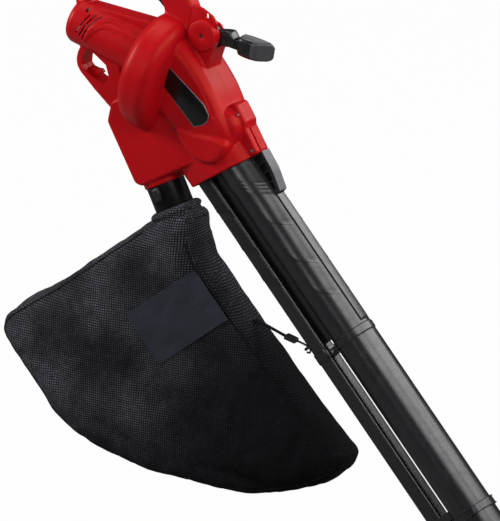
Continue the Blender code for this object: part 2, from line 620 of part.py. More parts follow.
# Changeover flap and its lever
flap_turn = [(cos(radians(180 - FLAP_ANGLE)), sin(radians(180 - FLAP_ANGLE)))]
ux, uz = flap_turn[0]
plate = [(FLAP_AT[0] + ux * r - uz * w, FLAP_AT[1] + uz * r + ux * w)
         for r, w in ((0, -1.5), (FLAP_LENGTH, -1.5), (FLAP_LENGTH, 1.5), (0, 1.5))]
flap_pivot = (FLAP_AT[0], 0, FLAP_AT[1])
FLAP_HALF = DUCT_HALF - WALL - 0.5
flap = prism("changeover_flap", plate, -FLAP_HALF, FLAP_HALF, BLACK, pivot=flap_pivot)
LEVER_IN = DUCT_HALF + GAP
fuse(flap, rod("flap_shaft", -(DUCT_HALF - WALL - GAP), LEVER_IN + 13, FLAP_SHAFT_R, 20, axis="y",
               centre=flap_pivot))
lever_outline = [(FLAP_AT[0] + 16 * cos(radians(a)), FLAP_AT[1] + 16 * sin(radians(a)))
                 for a in range(200, 461, 20)]
lever_outline += [(FLAP_AT[0] - 9, FLAP_AT[1] + 44), (FLAP_AT[0] - 18, FLAP_AT[1] + 42)]
lever = soften(prism("mode_lever", lever_outline, LEVER_IN, LEVER_IN + 12, BLACK, pivot=flap_pivot), 2)
cut(lever, rod("lever_bore", DUCT_HALF - 5, LEVER_IN + 30, FLAP_SHAFT_R + GAP, 20, axis="y",
               centre=flap_pivot))

# Main handle: sleeve, trigger, dial, switch, board and inlet
def sleeve_rings(extra):
    return handle_rings(HANDLE_ROWS, -extra)[4:8]


loft("grip_cover", sleeve_rings(GAP + COVER_THICK) + sleeve_rings(GAP)[::-1], GREY,
     ring_shaped=True, parent=UPRIGHT)

trigger_outline = [(-214, 352), (-207, 336), (-194, 321), (-179, 311), (-168, 300), (-160, 303),
                   (-152, 317), (-151, 329), (-160, 338), (-176, 347), (-196, 355), (-208, 356)]
trigger = prism("trigger", trigger_outline, -TRIGGER_HALF, TRIGGER_HALF, BLACK, parent=UPRIGHT,
                pivot=(TRIGGER_PIVOT[0], 0, TRIGGER_PIVOT[1]))
PIN_R = 2.0
cut(trigger, rod("trigger_bore", -30, 30, PIN_R + GAP / 2, 16, axis="y", parent=UPRIGHT,
                 centre=(TRIGGER_PIVOT[0], 0, TRIGGER_PIVOT[1])))
pin_half = HANDLE_ROWS[10][3] - WALL - GAP - 0.4
rod("trigger_pin", -pin_half, pin_half, PIN_R, 12, axis="y", parent=UPRIGHT, colour=STEEL,
    centre=(TRIGGER_PIVOT[0], 0, TRIGGER_PIVOT[1]))
dial = turned("speed_dial", [(-5, 0), (-5, DIAL_R), (5, DIAL_R), (5, 0)], 24, axis="y",
              parent=UPRIGHT, pivot=(DIAL_AT[0], 0, DIAL_AT[1]), centre=(DIAL_AT[0], 0, DIAL_AT[1]),
              colour=BLACK)
fuse(dial, rod("dial_pin", -DIAL_PIN_HALF, DIAL_PIN_HALF, DIAL_PIN_R, 12, axis="y", parent=UPRIGHT,
               centre=(DIAL_AT[0], 0, DIAL_AT[1])))
box("switch_module", (-252, -219), (-13.7, 13.7), (360, 373), BLACK, parent=UPRIGHT)
box("speed_board", (-147, -133), (-15.1, 15.1), (322, 336), WHITE, parent=UPRIGHT)
inlet = turned("power_inlet", [
    (INLET_AT[0], INLET_R), (INLET_AT[0] + 25, INLET_R), (INLET_AT[0] + 25, 0)][::-1] + [
    (INLET_AT[0], INLET_R - 2.2), (INLET_AT[0] + 20, INLET_R - 2.2), (INLET_AT[0] + 20, 0)], 24,
    parent=UPRIGHT, centre=(0, 0, INLET_AT[1]), colour=BLACK)
for side in (-1, 1):
    fuse(inlet, rod(f"inlet_pin_{side}", INLET_AT[0] + 4, INLET_AT[0] + 22, 2.4, 12, parent=UPRIGHT,
                    centre=(0, side * 5.5, INLET_AT[1])))

# Bare plate on the cover
FACE_AT = -COVER_RINGS[2][4]
prism("label_plate", [(-225, 35), (-126, 53), (-103, 48), (-94, 38), (-94, 23), (-104, 3),
                      (-201.5, -3.4)], FACE_AT - GAP - 1.2, FACE_AT - GAP, BLACK)

# Second handle: disc, bolt, knob, arm, grip
sleeve("hub_disc", -(HUB_HALF + 6), -(HUB_HALF + GAP), BOLT_R + 0.6, HUB_R - 1, 32, axis="y",
       parent=HUB, colour=RED)
KNOB_OUT = EAR_OUT + 12
KNOB_R, KNOB_WAVE = 10.5, 1.2
turned("clamp_bolt", [
    (KNOB_OUT - 2, 0), (KNOB_OUT - 2, BOLT_R), (-(HUB_HALF - 5 + GAP), BOLT_R),
    (-(HUB_HALF - 5 + GAP), BOLT_R * 2), (-HUB_HALF, BOLT_R * 2), (-HUB_HALF, 0)], 16, axis="y",
    parent=HUB, colour=STEEL)
knob_points = [((KNOB_R + KNOB_WAVE * cos(radians(6 * a))) * cos(radians(a)),
                (KNOB_R + KNOB_WAVE * cos(radians(6 * a))) * sin(radians(a))) for a in range(0, 360, 10)]
knob = prism("clamp_knob", knob_points, EAR_OUT + GAP, KNOB_OUT, BLACK, parent=HUB)
cut(knob, rod("knob_bore", 0, 80, BOLT_R + GAP / 2, 16, axis="y", parent=HUB))

arm = rod("aux_arm", -FORK_HALF, FORK_HALF, ARM_R, 32, axis="y", parent=HUB, colour=BLACK)
arm_bar = soften(prism("aux_arm_bar", [(0, 11), (14, 8), (40, 11), (54, 11), (64, -4), (60, -20), (44, -22),
                                       (20, -16), (0, -14)], -13, 13, parent=HUB), 4)
CORE = ((52, 108), (-9, 9), (-13, 5))
arm_core = box("aux_arm_core", *CORE, parent=AUX)
fuse(arm, arm_bar, arm_core)
cut(arm, rod("arm_bore", -40, 40, BOLT_R + GAP, 20, axis="y", parent=HUB))


def plan(name, outline, low, high, colour=None, **place):
    # An outline of (x, y) points, drawn out along z.
    rings = [[(x, y, z) for x, y in outline] for z in (low, high)]
    return loft(name, rings, colour, **place)


AUX_MID = 12.0
END_SLICE = 6.0
AUX_FAR = (36.0, 142.0)
AUX_NEAR = (66.0, 111.0)
grip_low, grip_high = AUX_MID - 14 - AUX_HALF_HEIGHT, AUX_MID - 14 + AUX_HALF_HEIGHT
lean = (AUX_FAR[1] - AUX_NEAR[1]) / (2 * AUX_HALF_DEPTH)
aux_grip = soften(plan("aux_grip", [
    (AUX_FAR[0] + 30, AUX_HALF_DEPTH), (AUX_NEAR[0] + 8, -AUX_HALF_DEPTH),
    (AUX_NEAR[1] - END_SLICE, -AUX_HALF_DEPTH), (AUX_FAR[1] - END_SLICE, AUX_HALF_DEPTH)],
    grip_low, grip_high, GREY, parent=AUX), 4)
cut(aux_grip, box("aux_grip_socket", (CORE[0][0] - 20, CORE[0][1] + GAP),
                  (CORE[1][0] - GAP, CORE[1][1] + GAP), (CORE[2][0] - GAP, CORE[2][1] + GAP),
                  parent=AUX))
soften(plan("aux_grip_end", [
    (AUX_NEAR[1] - END_SLICE + GAP, -AUX_HALF_DEPTH), (AUX_NEAR[1], -AUX_HALF_DEPTH),
    (AUX_FAR[1], AUX_HALF_DEPTH), (AUX_FAR[1] - END_SLICE + GAP, AUX_HALF_DEPTH)],
    grip_low, grip_high, GREY, parent=AUX), 2)

# Neck with its release button
adapter = turned("bag_adapter", [
    (-NECK_SEAT, NECK_R - NECK_WALL), (-NECK_SEAT, NECK_R), (NECK_OUT, NECK_R),
    (NECK_OUT, NECK_R - NECK_WALL)], 32, parent=NECK, colour=BLACK)
BUTTON_X, BUTTON_Z = (8.0, 33.0), 8.0
PAD_OUT = NECK_R + 5.5
pad = soften(box("button_pad", (BUTTON_X[0] - 3, BUTTON_X[1] + 3), (-PAD_OUT, -(NECK_R - 3.5)),
                 (-BUTTON_Z - 3, BUTTON_Z + 3), parent=NECK), 1.5)
pocket = box("button_pocket", (BUTTON_X[0] - GAP, BUTTON_X[1] + GAP), (-PAD_OUT - 9, -(NECK_R - 0.5)),
             (-BUTTON_Z - GAP, BUTTON_Z + GAP), parent=NECK)
fuse(adapter, pad)
cut(adapter, pocket, rod("neck_bore", -NECK_SEAT - 5, NECK_OUT + 5, NECK_R - NECK_WALL, 32, parent=NECK))
BUTTON_TRAVEL = 2.5
soften(box("adapter_button", BUTTON_X, (-PAD_OUT - 2.0, -(NECK_R - 0.5) - BUTTON_TRAVEL - GAP),
           (-BUTTON_Z, BUTTON_Z), BLACK, parent=NECK), 1.0, 1)

# Bag: two side panels and a gusset, with the collar on the neck
BAG_OUTLINE = [
    (-194, -142), (-280, -205), (-424, -311), (-516, -372), (-548, -404), (-550, -436), (-514, -480),
    (-428, -586), (-372, -626), (-298, -654), (-192, -678), (-38, -686), (57, -684), (154, -658),
    (228, -626), (262, -598), (270, -574), (244, -546), (178, -478), (15, -295), (-65, -203),
    (-92, -140), (-100.5, -106)]
gusset_hole = rod("gusset_hole", 40, NECK_OUT + 4, NECK_R + COLLAR_THICK + GAP, 28, parent=NECK)
gusset = prism("bag_gusset", BAG_OUTLINE, -(BAG_HALF - BAG_CLOTH - GAP), BAG_HALF - BAG_CLOTH - GAP,
               CLOTH, parent=UPRIGHT)
gusset_hollow = prism("gusset_hollow", inset(BAG_OUTLINE, BAG_CLOTH), -(BAG_HALF + 10), BAG_HALF + 10,
                      parent=UPRIGHT)
cut(gusset, gusset_hollow, gusset_hole)
for side, name in ((-1, "bag_side_right"), (1, "bag_side_left")):
    prism(name, BAG_OUTLINE, *sorted((side * (BAG_HALF - BAG_CLOTH), side * BAG_HALF)), CLOTH,
          parent=UPRIGHT)
sleeve("bag_collar", COLLAR_AT, NECK_OUT - 2, NECK_R + GAP, NECK_R + COLLAR_THICK, 28, parent=NECK,
       colour=CLOTH)
patch_frame = frame("patch_frame", PATCH_AT, -PATCH_TURN, UPRIGHT)
box("bag_patch", (-PATCH_SIZE[0] / 2, PATCH_SIZE[0] / 2), (-(BAG_HALF + GAP + 1.0), -(BAG_HALF + GAP)),
    (-PATCH_SIZE[1] / 2, PATCH_SIZE[1] / 2), SLATE, parent=patch_frame)

# Rear tube: suction and blower channel in one moulding, with the latch block and the bag lug
bore_r = SUCTION_R - SUCTION_WALL
spigot_r = bore_r - GAP
rear_tube = turned("rear_tube", [
    (-SUCTION_SEAT, 0), (-SUCTION_SEAT, SUCTION_R), (JOINT_AT - GAP, SUCTION_R),
    (JOINT_AT - GAP, spigot_r), (JOINT_AT + SPIGOT, spigot_r), (JOINT_AT + SPIGOT, 0)], 32, colour=BLACK)
blower_low = -BLOWER_DROP + BLOWER_HEIGHT / 2
web = box("tube_web", (4, BLOWER_JOINT - 6), (-WEB_THICK / 2, WEB_THICK / 2),
          (blower_low - BLOWER_WALL / 2, -(SUCTION_R - SUCTION_WALL / 2)))
block = prism("latch_block", [(10.8, 40), (16.4, 72.5), (56, 67), (97, 54), (101, 40)], -14, 14)
LUG_AT = 380.0
LUG_Z = -(BLOWER_DROP + BLOWER_HEIGHT / 2) - 10
lug = loft("bag_lug", [[(x, a, b) for a, b in [(-8, LUG_Z + 12), (-8, LUG_Z), (-4, LUG_Z - 8),
                                               (4, LUG_Z - 8), (8, LUG_Z), (8, LUG_Z + 12)]]
                       for x in (LUG_AT - 2.5, LUG_AT + 2.5)])
fuse(rear_tube, block, web,
     channel("rear_blower", -BLOWER_SEAT, BLOWER_JOINT - GAP, 0.0),
     channel("rear_blower_spigot", BLOWER_JOINT - 20, BLOWER_JOINT + BLOWER_SPIGOT,
             -BLOWER_WALL - GAP), lug)
cut(rear_tube,
    turned("rear_bore", [(-SUCTION_SEAT - 5, 0), (-SUCTION_SEAT - 5, bore_r), (JOINT_AT - 7, bore_r),
                         (JOINT_AT - 4, spigot_r - SUCTION_WALL),
                         (JOINT_AT + SPIGOT + 5, spigot_r - SUCTION_WALL),
                         (JOINT_AT + SPIGOT + 5, 0)], 32),
    channel("rear_blower_bore", -BLOWER_SEAT - 5, BLOWER_JOINT - 5, -BLOWER_WALL),
    channel("rear_blower_spigot_bore", BLOWER_JOINT - 12, BLOWER_JOINT + BLOWER_SPIGOT + 5,
            -2 * BLOWER_WALL - GAP),
    rod("lug_hole", LUG_AT - 10, LUG_AT + 10, 5, 16, centre=(0, 0, LUG_Z)))
for i in range(3):
    for side in (-1, 1):
        x = 22 + i * 24
        top = 66 - i * 5.5
        cut(rear_tube, box(f"block_pocket_{i}_{side}", (x, x + 20), sorted((side * 3, side * 20)),
                           (46, top)))

# Front tubes
collar_r = SUCTION_R + COLLAR_STEP
flange_r = SUCTION_R + FLANGE_STEP
front = [(JOINT_AT, bore_r), (JOINT_AT, collar_r), (JOINT_AT + COLLAR_LENGTH, collar_r),
         (JOINT_AT + COLLAR_LENGTH + 2, SUCTION_R)]
for k in range(2):
    at = FLANGE_AT + k * FLANGE_PITCH
    front += [(at, SUCTION_R), (at, flange_r), (at + FLANGE_THICK, flange_r),
              (at + FLANGE_THICK, SUCTION_R)]
front += [(MOUTH_AT + 40, SUCTION_R), (MOUTH_AT + 40, bore_r)]
front_tube = turned("front_suction_tube", front, 32, colour=BLACK)
mouth_cut = loft("mouth_cut", [
    [(MOUTH_AT + MOUTH_SLOPE * b, a, b) for a, b in rounded(90, 90, 2, 1)],
    [(MOUTH_AT + 200 + MOUTH_SLOPE * b, a, b) for a, b in rounded(90, 90, 2, 1)]])
cut(front_tube, mouth_cut)
front_blower = channel("front_blower_tube", BLOWER_JOINT, BLOWER_END, 0.0, BLACK, slope=MOUTH_SLOPE)
fuse(front_blower, channel("front_blower_collar", BLOWER_JOINT + GAP, BLOWER_JOINT + 24, COLLAR_STEP))
cut(front_blower, channel("front_blower_bore", BLOWER_JOINT - 5, BLOWER_END + 40, -BLOWER_WALL))

# Clip between the tubes at their joint
CLIP_X = (JOINT_AT + 1, JOINT_AT + COLLAR_LENGTH - 1)
clip_top = -(collar_r - 4)
clip_low = blower_low + COLLAR_STEP + GAP
clip = box("tube_clip", CLIP_X, (-15, 15), (clip_low, clip_top), BLACK)
cut(clip, rod("clip_saddle", JOINT_AT - 10, JOINT_AT + 40, collar_r + GAP, 32))
clip_screw_at = (sum(CLIP_X) / 2, 0, (clip_low - collar_r) / 2 - 0.5)
cut(clip, rod("clip_drill", -40, 9, SCREW_R + GAP, 12, axis="y", centre=clip_screw_at))
turned("tube_clip_screw", [
    (8, 0), (8, SCREW_R), (-(15 + GAP), SCREW_R), (-(15 + GAP), SCREW_HEAD_R),
    (-(15 + GAP + SCREW_HEAD), SCREW_HEAD_R - 0.6), (-(15 + GAP + SCREW_HEAD), 0)], 12, axis="y",
    centre=clip_screw_at, colour=STEEL)

# Roller bracket: a ring between the flanges and a saddle round both tubes
ring_low = FLANGE_AT + FLANGE_THICK + GAP
ring_high = FLANGE_AT + FLANGE_PITCH - GAP
bracket = sleeve("roller_bracket", ring_low, ring_high, SUCTION_R + GAP, SUCTION_R + 3.3, 32,
                 colour=BLACK)
plate_out = PLATE_IN + PLATE_THICK
saddle = box("bracket_saddle", (FLANGE_AT - 20, FLANGE_AT - 3), (-plate_out, plate_out),
             (-(BLOWER_DROP + BLOWER_HEIGHT / 2 + 7), -32))
plate_points = [(FLANGE_AT - 20, -52), (ring_low, -37), (ring_high, -37),
                (ROLLER_AXLE[0] + 9, ROLLER_AXLE[1] + 6), (ROLLER_AXLE[0] + 6, ROLLER_AXLE[1] - 8),
                (ROLLER_AXLE[0] - 7, ROLLER_AXLE[1] - 8), (FLANGE_AT - 20, -104)]
for side in (-1, 1):
    fuse(bracket, prism(f"bracket_plate_{side}", plate_points,
                        *sorted((side * PLATE_IN, side * plate_out))))
fuse(bracket, saddle)
cut(bracket,
    rod("saddle_bore", 700, 980, SUCTION_R + GAP, 32),
    channel("saddle_channel", 700, 980, GAP),
    rod("axle_hole", -60, 60, AXLE_R + GAP, 16, axis="y", centre=(ROLLER_AXLE[0], 0, ROLLER_AXLE[1])))
for k in range(2):
    at = FLANGE_AT + k * FLANGE_PITCH
    cut(bracket, rod(f"flange_relief_{k}", at - GAP, at + FLANGE_THICK + GAP, flange_r + GAP, 32))
roller_in = plate_out + 1.0
roller_out = roller_in + ROLLER_WIDTH
turned("roller_axle", [
    (-(roller_out + 4), 0), (-(roller_out + 4), 6), (-(roller_out + 1), 6), (-(roller_out + 1), AXLE_R),
    (roller_out + 1, AXLE_R), (roller_out + 1, 6), (roller_out + 4, 6), (roller_out + 4, 0)], 16,
    axis="y", centre=(ROLLER_AXLE[0], 0, ROLLER_AXLE[1]), colour=STEEL)
for side, name in ((-1, "roller_right"), (1, "roller_left")):
    low, high = sorted((side * roller_in, side * roller_out))
    turned(name, [(low, AXLE_R + 0.1), (low, ROLLER_R - 2), (low + 2, ROLLER_R), (high - 2, ROLLER_R),
                  (high, ROLLER_R - 2), (high, AXLE_R + 0.1)], 24, axis="y", colour=BLACK,
           pivot=(ROLLER_AXLE[0], 0, ROLLER_AXLE[1]), centre=(ROLLER_AXLE[0], 0, ROLLER_AXLE[1]))

# Hook and elastic strap that hold the bag's edge to the lug
HOOK_R = 2.2
hook_path = [(LUG_AT + 6, LUG_Z - 9), (LUG_AT + 10, LUG_Z - 4), (LUG_AT + 7, LUG_Z + 1.5), (LUG_AT, LUG_Z + 2.5),
             (LUG_AT - 10, LUG_Z - 3), (LUG_AT - 32, LUG_Z - 18)]


def rod_rings(path, radius, count=10):
    rings = []
    for i, (x, z) in enumerate(path):
        before, after = path[max(i - 1, 0)], path[min(i + 1, len(path) - 1)]
        dx, dz = after[0] - before[0], after[1] - before[1]
        size = hypot(dx, dz)
        rings.append([(x - dz / size * radius * sin(2 * pi * k / count), radius * cos(2 * pi * k / count),
                       z + dx / size * radius * sin(2 * pi * k / count)) for k in range(count)])
    return rings


hook = loft("bag_hook", rod_rings(hook_path, HOOK_R), BLACK)
clip_body = soften(prism("hook_body", [(LUG_AT - 28, LUG_Z - 10), (LUG_AT - 22, LUG_Z - 18),
                                       (LUG_AT - 44, LUG_Z - 34), (LUG_AT - 50, LUG_Z - 25)], -8, 8), 1.5)
fuse(hook, clip_body)
STRAP_CLEAR = 1.6
STRAP_REACH = 0.4
strap_end = (LUG_AT - 47.4, LUG_Z - 30.2)
edge = from_upright((38, -320.5))
strap_dir = (strap_end[0] - edge[0], strap_end[1] - edge[1])
size = hypot(*strap_dir)
sx, sz = strap_dir[0] / size, strap_dir[1] / size
prism("bag_strap", [(edge[0] + sx * STRAP_CLEAR - sz * w, edge[1] + sz * STRAP_CLEAR + sx * w) for w in (1.2, -1.2)] +
      [(strap_end[0] + sx * STRAP_REACH - sz * w, strap_end[1] + sz * STRAP_REACH + sx * w) for w in (-1.2, 1.2)],
      -6, 6, CLOTH)
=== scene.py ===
import bpy
import bmesh
import json
from math import cos, exp, hypot, pi, radians, sin
from mathutils import Matrix, Vector, noise


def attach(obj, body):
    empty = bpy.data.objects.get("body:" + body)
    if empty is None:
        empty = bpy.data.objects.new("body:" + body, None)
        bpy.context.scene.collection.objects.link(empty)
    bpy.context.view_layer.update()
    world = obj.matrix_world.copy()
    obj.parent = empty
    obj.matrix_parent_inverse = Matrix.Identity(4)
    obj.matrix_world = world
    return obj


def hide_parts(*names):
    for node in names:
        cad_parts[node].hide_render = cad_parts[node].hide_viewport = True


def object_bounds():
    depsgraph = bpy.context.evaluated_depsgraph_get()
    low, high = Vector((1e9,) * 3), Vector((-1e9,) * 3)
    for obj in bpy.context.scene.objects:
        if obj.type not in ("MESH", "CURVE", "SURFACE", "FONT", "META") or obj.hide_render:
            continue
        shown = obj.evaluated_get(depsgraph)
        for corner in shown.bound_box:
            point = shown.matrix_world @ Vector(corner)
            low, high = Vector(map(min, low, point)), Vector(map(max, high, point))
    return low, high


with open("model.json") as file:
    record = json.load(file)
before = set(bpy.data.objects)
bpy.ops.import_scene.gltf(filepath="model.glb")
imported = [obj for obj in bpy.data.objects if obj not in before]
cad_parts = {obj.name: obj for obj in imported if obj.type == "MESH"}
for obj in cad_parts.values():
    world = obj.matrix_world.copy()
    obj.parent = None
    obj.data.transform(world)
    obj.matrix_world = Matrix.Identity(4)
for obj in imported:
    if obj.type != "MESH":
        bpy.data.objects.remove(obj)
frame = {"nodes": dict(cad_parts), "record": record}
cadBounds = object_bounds()
print("frame loaded")

mm = 0.001
nodes = frame["nodes"]


# places: the tool's frame has x along the suction tube, y to the left and z towards the handle

def turnY(degrees):
    return Matrix.Rotation(radians(degrees), 4, "Y")


def shift(x, z):
    return Matrix.Translation((x * mm, 0, z * mm))


toolPlace = shift(255, -368) @ turnY(49)
motorPlace = toolPlace @ shift(-239, 0) @ turnY(-32)
neckPlace = toolPlace @ shift(-66, -173.5) @ turnY(15)
uprightPlace = toolPlace @ turnY(-49)
hubPlace = uprightPlace @ shift(-64.6, 261)
auxPlace = hubPlace @ turnY(10)


# camera and light

camera = {"target": (-194.8, 24.66), "distance": 14.0, "viewWidth": 1.0,
          "right": Vector((0.848, 0.530, 0.0)), "up": Vector((-0.1516, 0.2425, 0.9583)),
          "back": Vector((0.5078, -0.8126, 0.2859))}


def addCamera():
    data = bpy.data.cameras.new("camera")
    data.sensor_fit = "HORIZONTAL"
    data.lens = data.sensor_width * camera["distance"] / camera["viewWidth"]
    data.clip_end = 60
    seen = bpy.data.objects.new("camera", data)
    bpy.context.collection.objects.link(seen)
    right, up, back = camera["right"], camera["up"], camera["back"]
    aim = toolPlace.translation + up * camera["target"][0] * mm + right * camera["target"][1] * mm
    turn = Matrix((right, up, back)).transposed().to_4x4()
    seen.matrix_world = Matrix.Translation(aim + back * camera["distance"]) @ turn
    bpy.context.scene.camera = seen


lamps = {
    "top": {"at": (-0.6, 0.2, 2.8), "aim": (0.0, 0, -0.4), "size": (2.0, 1.4), "watts": 29},
    "streakFront": {"at": (2.35, -1.3, 1.2), "aim": (0.1, 0, -0.5), "size": (1.7, 1.3), "watts": 30},
    "streakSide": {"at": (2.6, 0.6, 1.4), "aim": (0.1, 0, -0.5), "size": (1.9, 1.3), "watts": 36},
    "streakRear": {"at": (1.7, 2.2, 1.2), "aim": (0.1, 0, -0.5), "size": (1.9, 1.3), "watts": 34},
    "left": {"at": (-3.0, -1.8, 1.3), "aim": (-0.1, 0, -0.5), "size": (0.9, 1.6), "watts": 88},
    "front": {"at": (0.0, -3.6, 0.8), "aim": (0.0, 0, -0.4), "size": (1.2, 1.2), "watts": 16},
}


def addLamps():
    for name, lamp in lamps.items():
        data = bpy.data.lights.new(name, "AREA")
        data.shape = "RECTANGLE"
        data.size, data.size_y = lamp["size"]
        data.energy = lamp["watts"]
        light = bpy.data.objects.new(name, data)
        bpy.context.collection.objects.link(light)
        light.location = lamp["at"]
        light.rotation_euler = (Vector(lamp["aim"]) - Vector(lamp["at"])).to_track_quat("-Z", "Y").to_euler()


addCamera()
addLamps()
bpy.context.scene.view_settings.view_transform = "Standard"


# shader maths: a wrapped socket adds its nodes as a plain expression is read

class Wire:
    def __init__(self, tree, socket):
        self.tree, self.socket = tree, socket

    def node(self, kind, settings=None, values=None, output=0):
        made = self.tree.nodes.new(kind)
        for key, value in (settings or {}).items():
            if key == "stops":
                while len(made.color_ramp.elements) < len(value):
                    made.color_ramp.elements.new(0.5)
                for stop, (place, level) in zip(made.color_ramp.elements, value):
                    stop.position = place
                    stop.color = (level, level, level, 1)
            else:
                setattr(made, key, value)
        for key, value in (values or {}).items():
            socket = made.inputs[key]
            if isinstance(value, Wire):
                self.tree.links.new(value.socket, socket)
            else:
                socket.default_value = value
        return Wire(self.tree, made.outputs[output])

    def maths(self, operation, *values):
        return self.node("ShaderNodeMath", {"operation": operation}, dict(enumerate(values)))

    def __add__(self, other):
        return self.maths("ADD", self, other)

    def __radd__(self, other):
        return self.maths("ADD", other, self)

    def __sub__(self, other):
        return self.maths("SUBTRACT", self, other)

    def __rsub__(self, other):
        return self.maths("SUBTRACT", other, self)

    def __mul__(self, other):
        return self.maths("MULTIPLY", self, other)

    def __rmul__(self, other):
        return self.maths("MULTIPLY", other, self)

    def sine(self):
        return self.maths("SINE", self)

    def noise(self, scale, detail=3.0, rough=0.5):
        return self.node("ShaderNodeTexNoise", {}, {"Vector": self, "Scale": scale, "Detail": detail,
                                                    "Roughness": rough})

    def ramp(self, *stops):
        return self.node("ShaderNodeValToRGB", {"stops": stops}, {"Fac": self})

    def between(self, low, high):
        # a colour that runs from low to high with this mask
        return self.node("ShaderNodeMix", {"data_type": "RGBA"}, {0: self, 6: (*low, 1), 7: (*high, 1)}, 2)

    def part(self, axis):
        return self.node("ShaderNodeSeparateXYZ", {}, {0: self}, axis)


def startMaterial(name, **constants):
    material = bpy.data.materials.new(name)
    material.use_nodes = True
    tree = material.node_tree
    shader = tree.nodes["Principled BSDF"]
    for key, value in constants.items():
        shader.inputs[key.replace("_", " ")].default_value = value
    place = tree.nodes.new("ShaderNodeTexCoord")
    return material, Wire(tree, place.outputs["Object"]), shader


def feed(shader, name, wire):
    wire.tree.links.new(wire.socket, shader.inputs[name])


def bump(wire, strength, distance, normal=None):
    values = {"Height": wire, "Strength": strength, "Distance": distance}
    if normal is not None:
        values["Normal"] = normal
    return wire.node("ShaderNodeBump", {}, values)


plastics = {
    "red": {"low": (0.50, 0.002, 0.008), "high": (0.60, 0.006, 0.012), "rough": 0.40, "grain": 0.05,
            "gloss": 0.3, "tint": (1.0, 0.42, 0.26, 1)},
    "black": {"low": (0.006, 0.006, 0.008), "high": (0.011, 0.011, 0.014), "rough": 0.30, "grain": 0.02,
              "gloss": 0.75},
    # painted shade: a darker, duller copy of the black plastic, for the neck between housing and bag
    "paintedShadeBlack": {"low": (0.002, 0.002, 0.003), "high": (0.004, 0.004, 0.005), "rough": 0.36, "grain": 0.02,
                   "gloss": 0.25},
    "matteBlack": {"low": (0.012, 0.012, 0.014), "high": (0.020, 0.020, 0.023), "rough": 0.55, "grain": 0.12},
    # painted highlight: a lit grey copy of the black plastic, for the top faces of the grip and the latch
    # block
    "paintedHighlightGrey": {"low": (0.13, 0.13, 0.14), "high": (0.17, 0.17, 0.18), "rough": 0.42, "grain": 0.1},
    "greyEnd": {"low": (0.055, 0.055, 0.06), "high": (0.085, 0.085, 0.09), "rough": 0.38, "grain": 0.1},
    "label": {"low": (0.003, 0.003, 0.003), "high": (0.005, 0.005, 0.005), "rough": 0.25, "grain": 0.02},
    "white": {"low": (0.62, 0.62, 0.6), "high": (0.7, 0.7, 0.68), "rough": 0.5, "grain": 0.05},
}


def plastic(name, look):
    material, place, shader = startMaterial(name, Specular_IOR_Level=look.get("gloss", 0.5),
                                            Specular_Tint=look.get("tint", (1, 1, 1, 1)))
    clouds = place.noise(9.0, 4.0)
    speck = place.noise(900.0, 2.0)
    scuffs = place.noise(60.0, 6.0, 0.7).ramp((0.45, 0.0), (0.75, 1.0))
    feed(shader, "Base Color", clouds.between(look["low"], look["high"]))
    feed(shader, "Roughness", look["rough"] + 0.10 * clouds + 0.10 * scuffs - 0.07)
    feed(shader, "Normal", bump(speck, look["grain"], 0.0004))
    return material


def metal(name, colour, rough):
    material, place, shader = startMaterial(name, Metallic=1.0)
    streaks = place.noise(400.0, 4.0)
    feed(shader, "Base Color", streaks.between([c * 0.8 for c in colour], colour))
    feed(shader, "Roughness", rough + 0.15 * streaks)
    feed(shader, "Normal", bump(streaks, 0.05, 0.0002))
    return material


def woven(name, low, high, rough, pitch, depth):
    # threads cross at right angles in the plane of the cloth's own map, in metres
    material, place, shader = startMaterial(name, Specular_IOR_Level=0.12)
    flat = place.node("ShaderNodeUVMap")
    turns = 2 * pi / pitch
    wobble = 5.0 * place.noise(7.0, 2.0)
    across = 0.5 + 0.5 * (flat.part(0) * turns + wobble).sine()
    along = 0.5 + 0.5 * (flat.part(1) * turns + wobble).sine()
    weave = (across * along).ramp((0.22, 0.0), (0.7, 1.0))
    slub = place.noise(80.0, 4.0, 0.6).ramp((0.36, 0.45), (0.62, 1.0))
    worn = place.noise(6.0, 5.0).ramp((0.38, 0.3), (0.64, 1.0))
    # painted shade: the cloth is made darker towards high x and low z, the lower right, as if lit from the
    # upper left
    paintedShade = (1.2 - place.part(0) + 0.6 * place.part(2)).ramp((0.4, 0.12), (0.74, 1.0))
    feed(shader, "Base Color", (paintedShade * (worn * (0.9 * (weave * slub) + 0.1))).between(low, high))
    feed(shader, "Roughness", rough + 0.08 * slub)
    creases = place.noise(24.0, 5.0, 0.6)
    coarse = bump(creases, 0.35, 0.010)
    feed(shader, "Normal", bump(weave + 0.6 * slub, depth, 0.0014, coarse))
    return material


redPlastic = plastic("red_plastic_look", plastics["red"])
blackPlastic = plastic("black_plastic_look", plastics["black"])
paintedShadeBlack = plastic("painted_shade_black_look", plastics["paintedShadeBlack"])
matteBlack = plastic("matte_black_look", plastics["matteBlack"])
paintedHighlightGrey = plastic("painted_highlight_grey_look", plastics["paintedHighlightGrey"])
greyEnd = plastic("dark_grey_look", plastics["greyEnd"])
whitePlastic = plastic("white_plastic_look", plastics["white"])
brightSteel = metal("bright_steel_look", (0.62, 0.62, 0.64), 0.22)
motorIron = metal("motor_iron_look", (0.30, 0.29, 0.28), 0.45)
copperWire = metal("copper_wire_look", (0.70, 0.34, 0.18), 0.30)
labelBlack = plastic("label_black_look", plastics["label"])
silverLine = metal("silver_line_look", (0.5, 0.5, 0.52), 0.35)
bagCloth = woven("bag_cloth_look", (0.0018, 0.0018, 0.0026), (0.27, 0.27, 0.32), 0.80, 0.0050, 0.5)
tapeCloth = woven("tape_cloth_look", (0.005, 0.005, 0.006), (0.05, 0.05, 0.055), 0.75, 0.0028, 0.5)
patchCoat = woven("patch_coat_look", (0.033, 0.033, 0.047), (0.050, 0.050, 0.070), 0.5, 0.0012, 0.10)

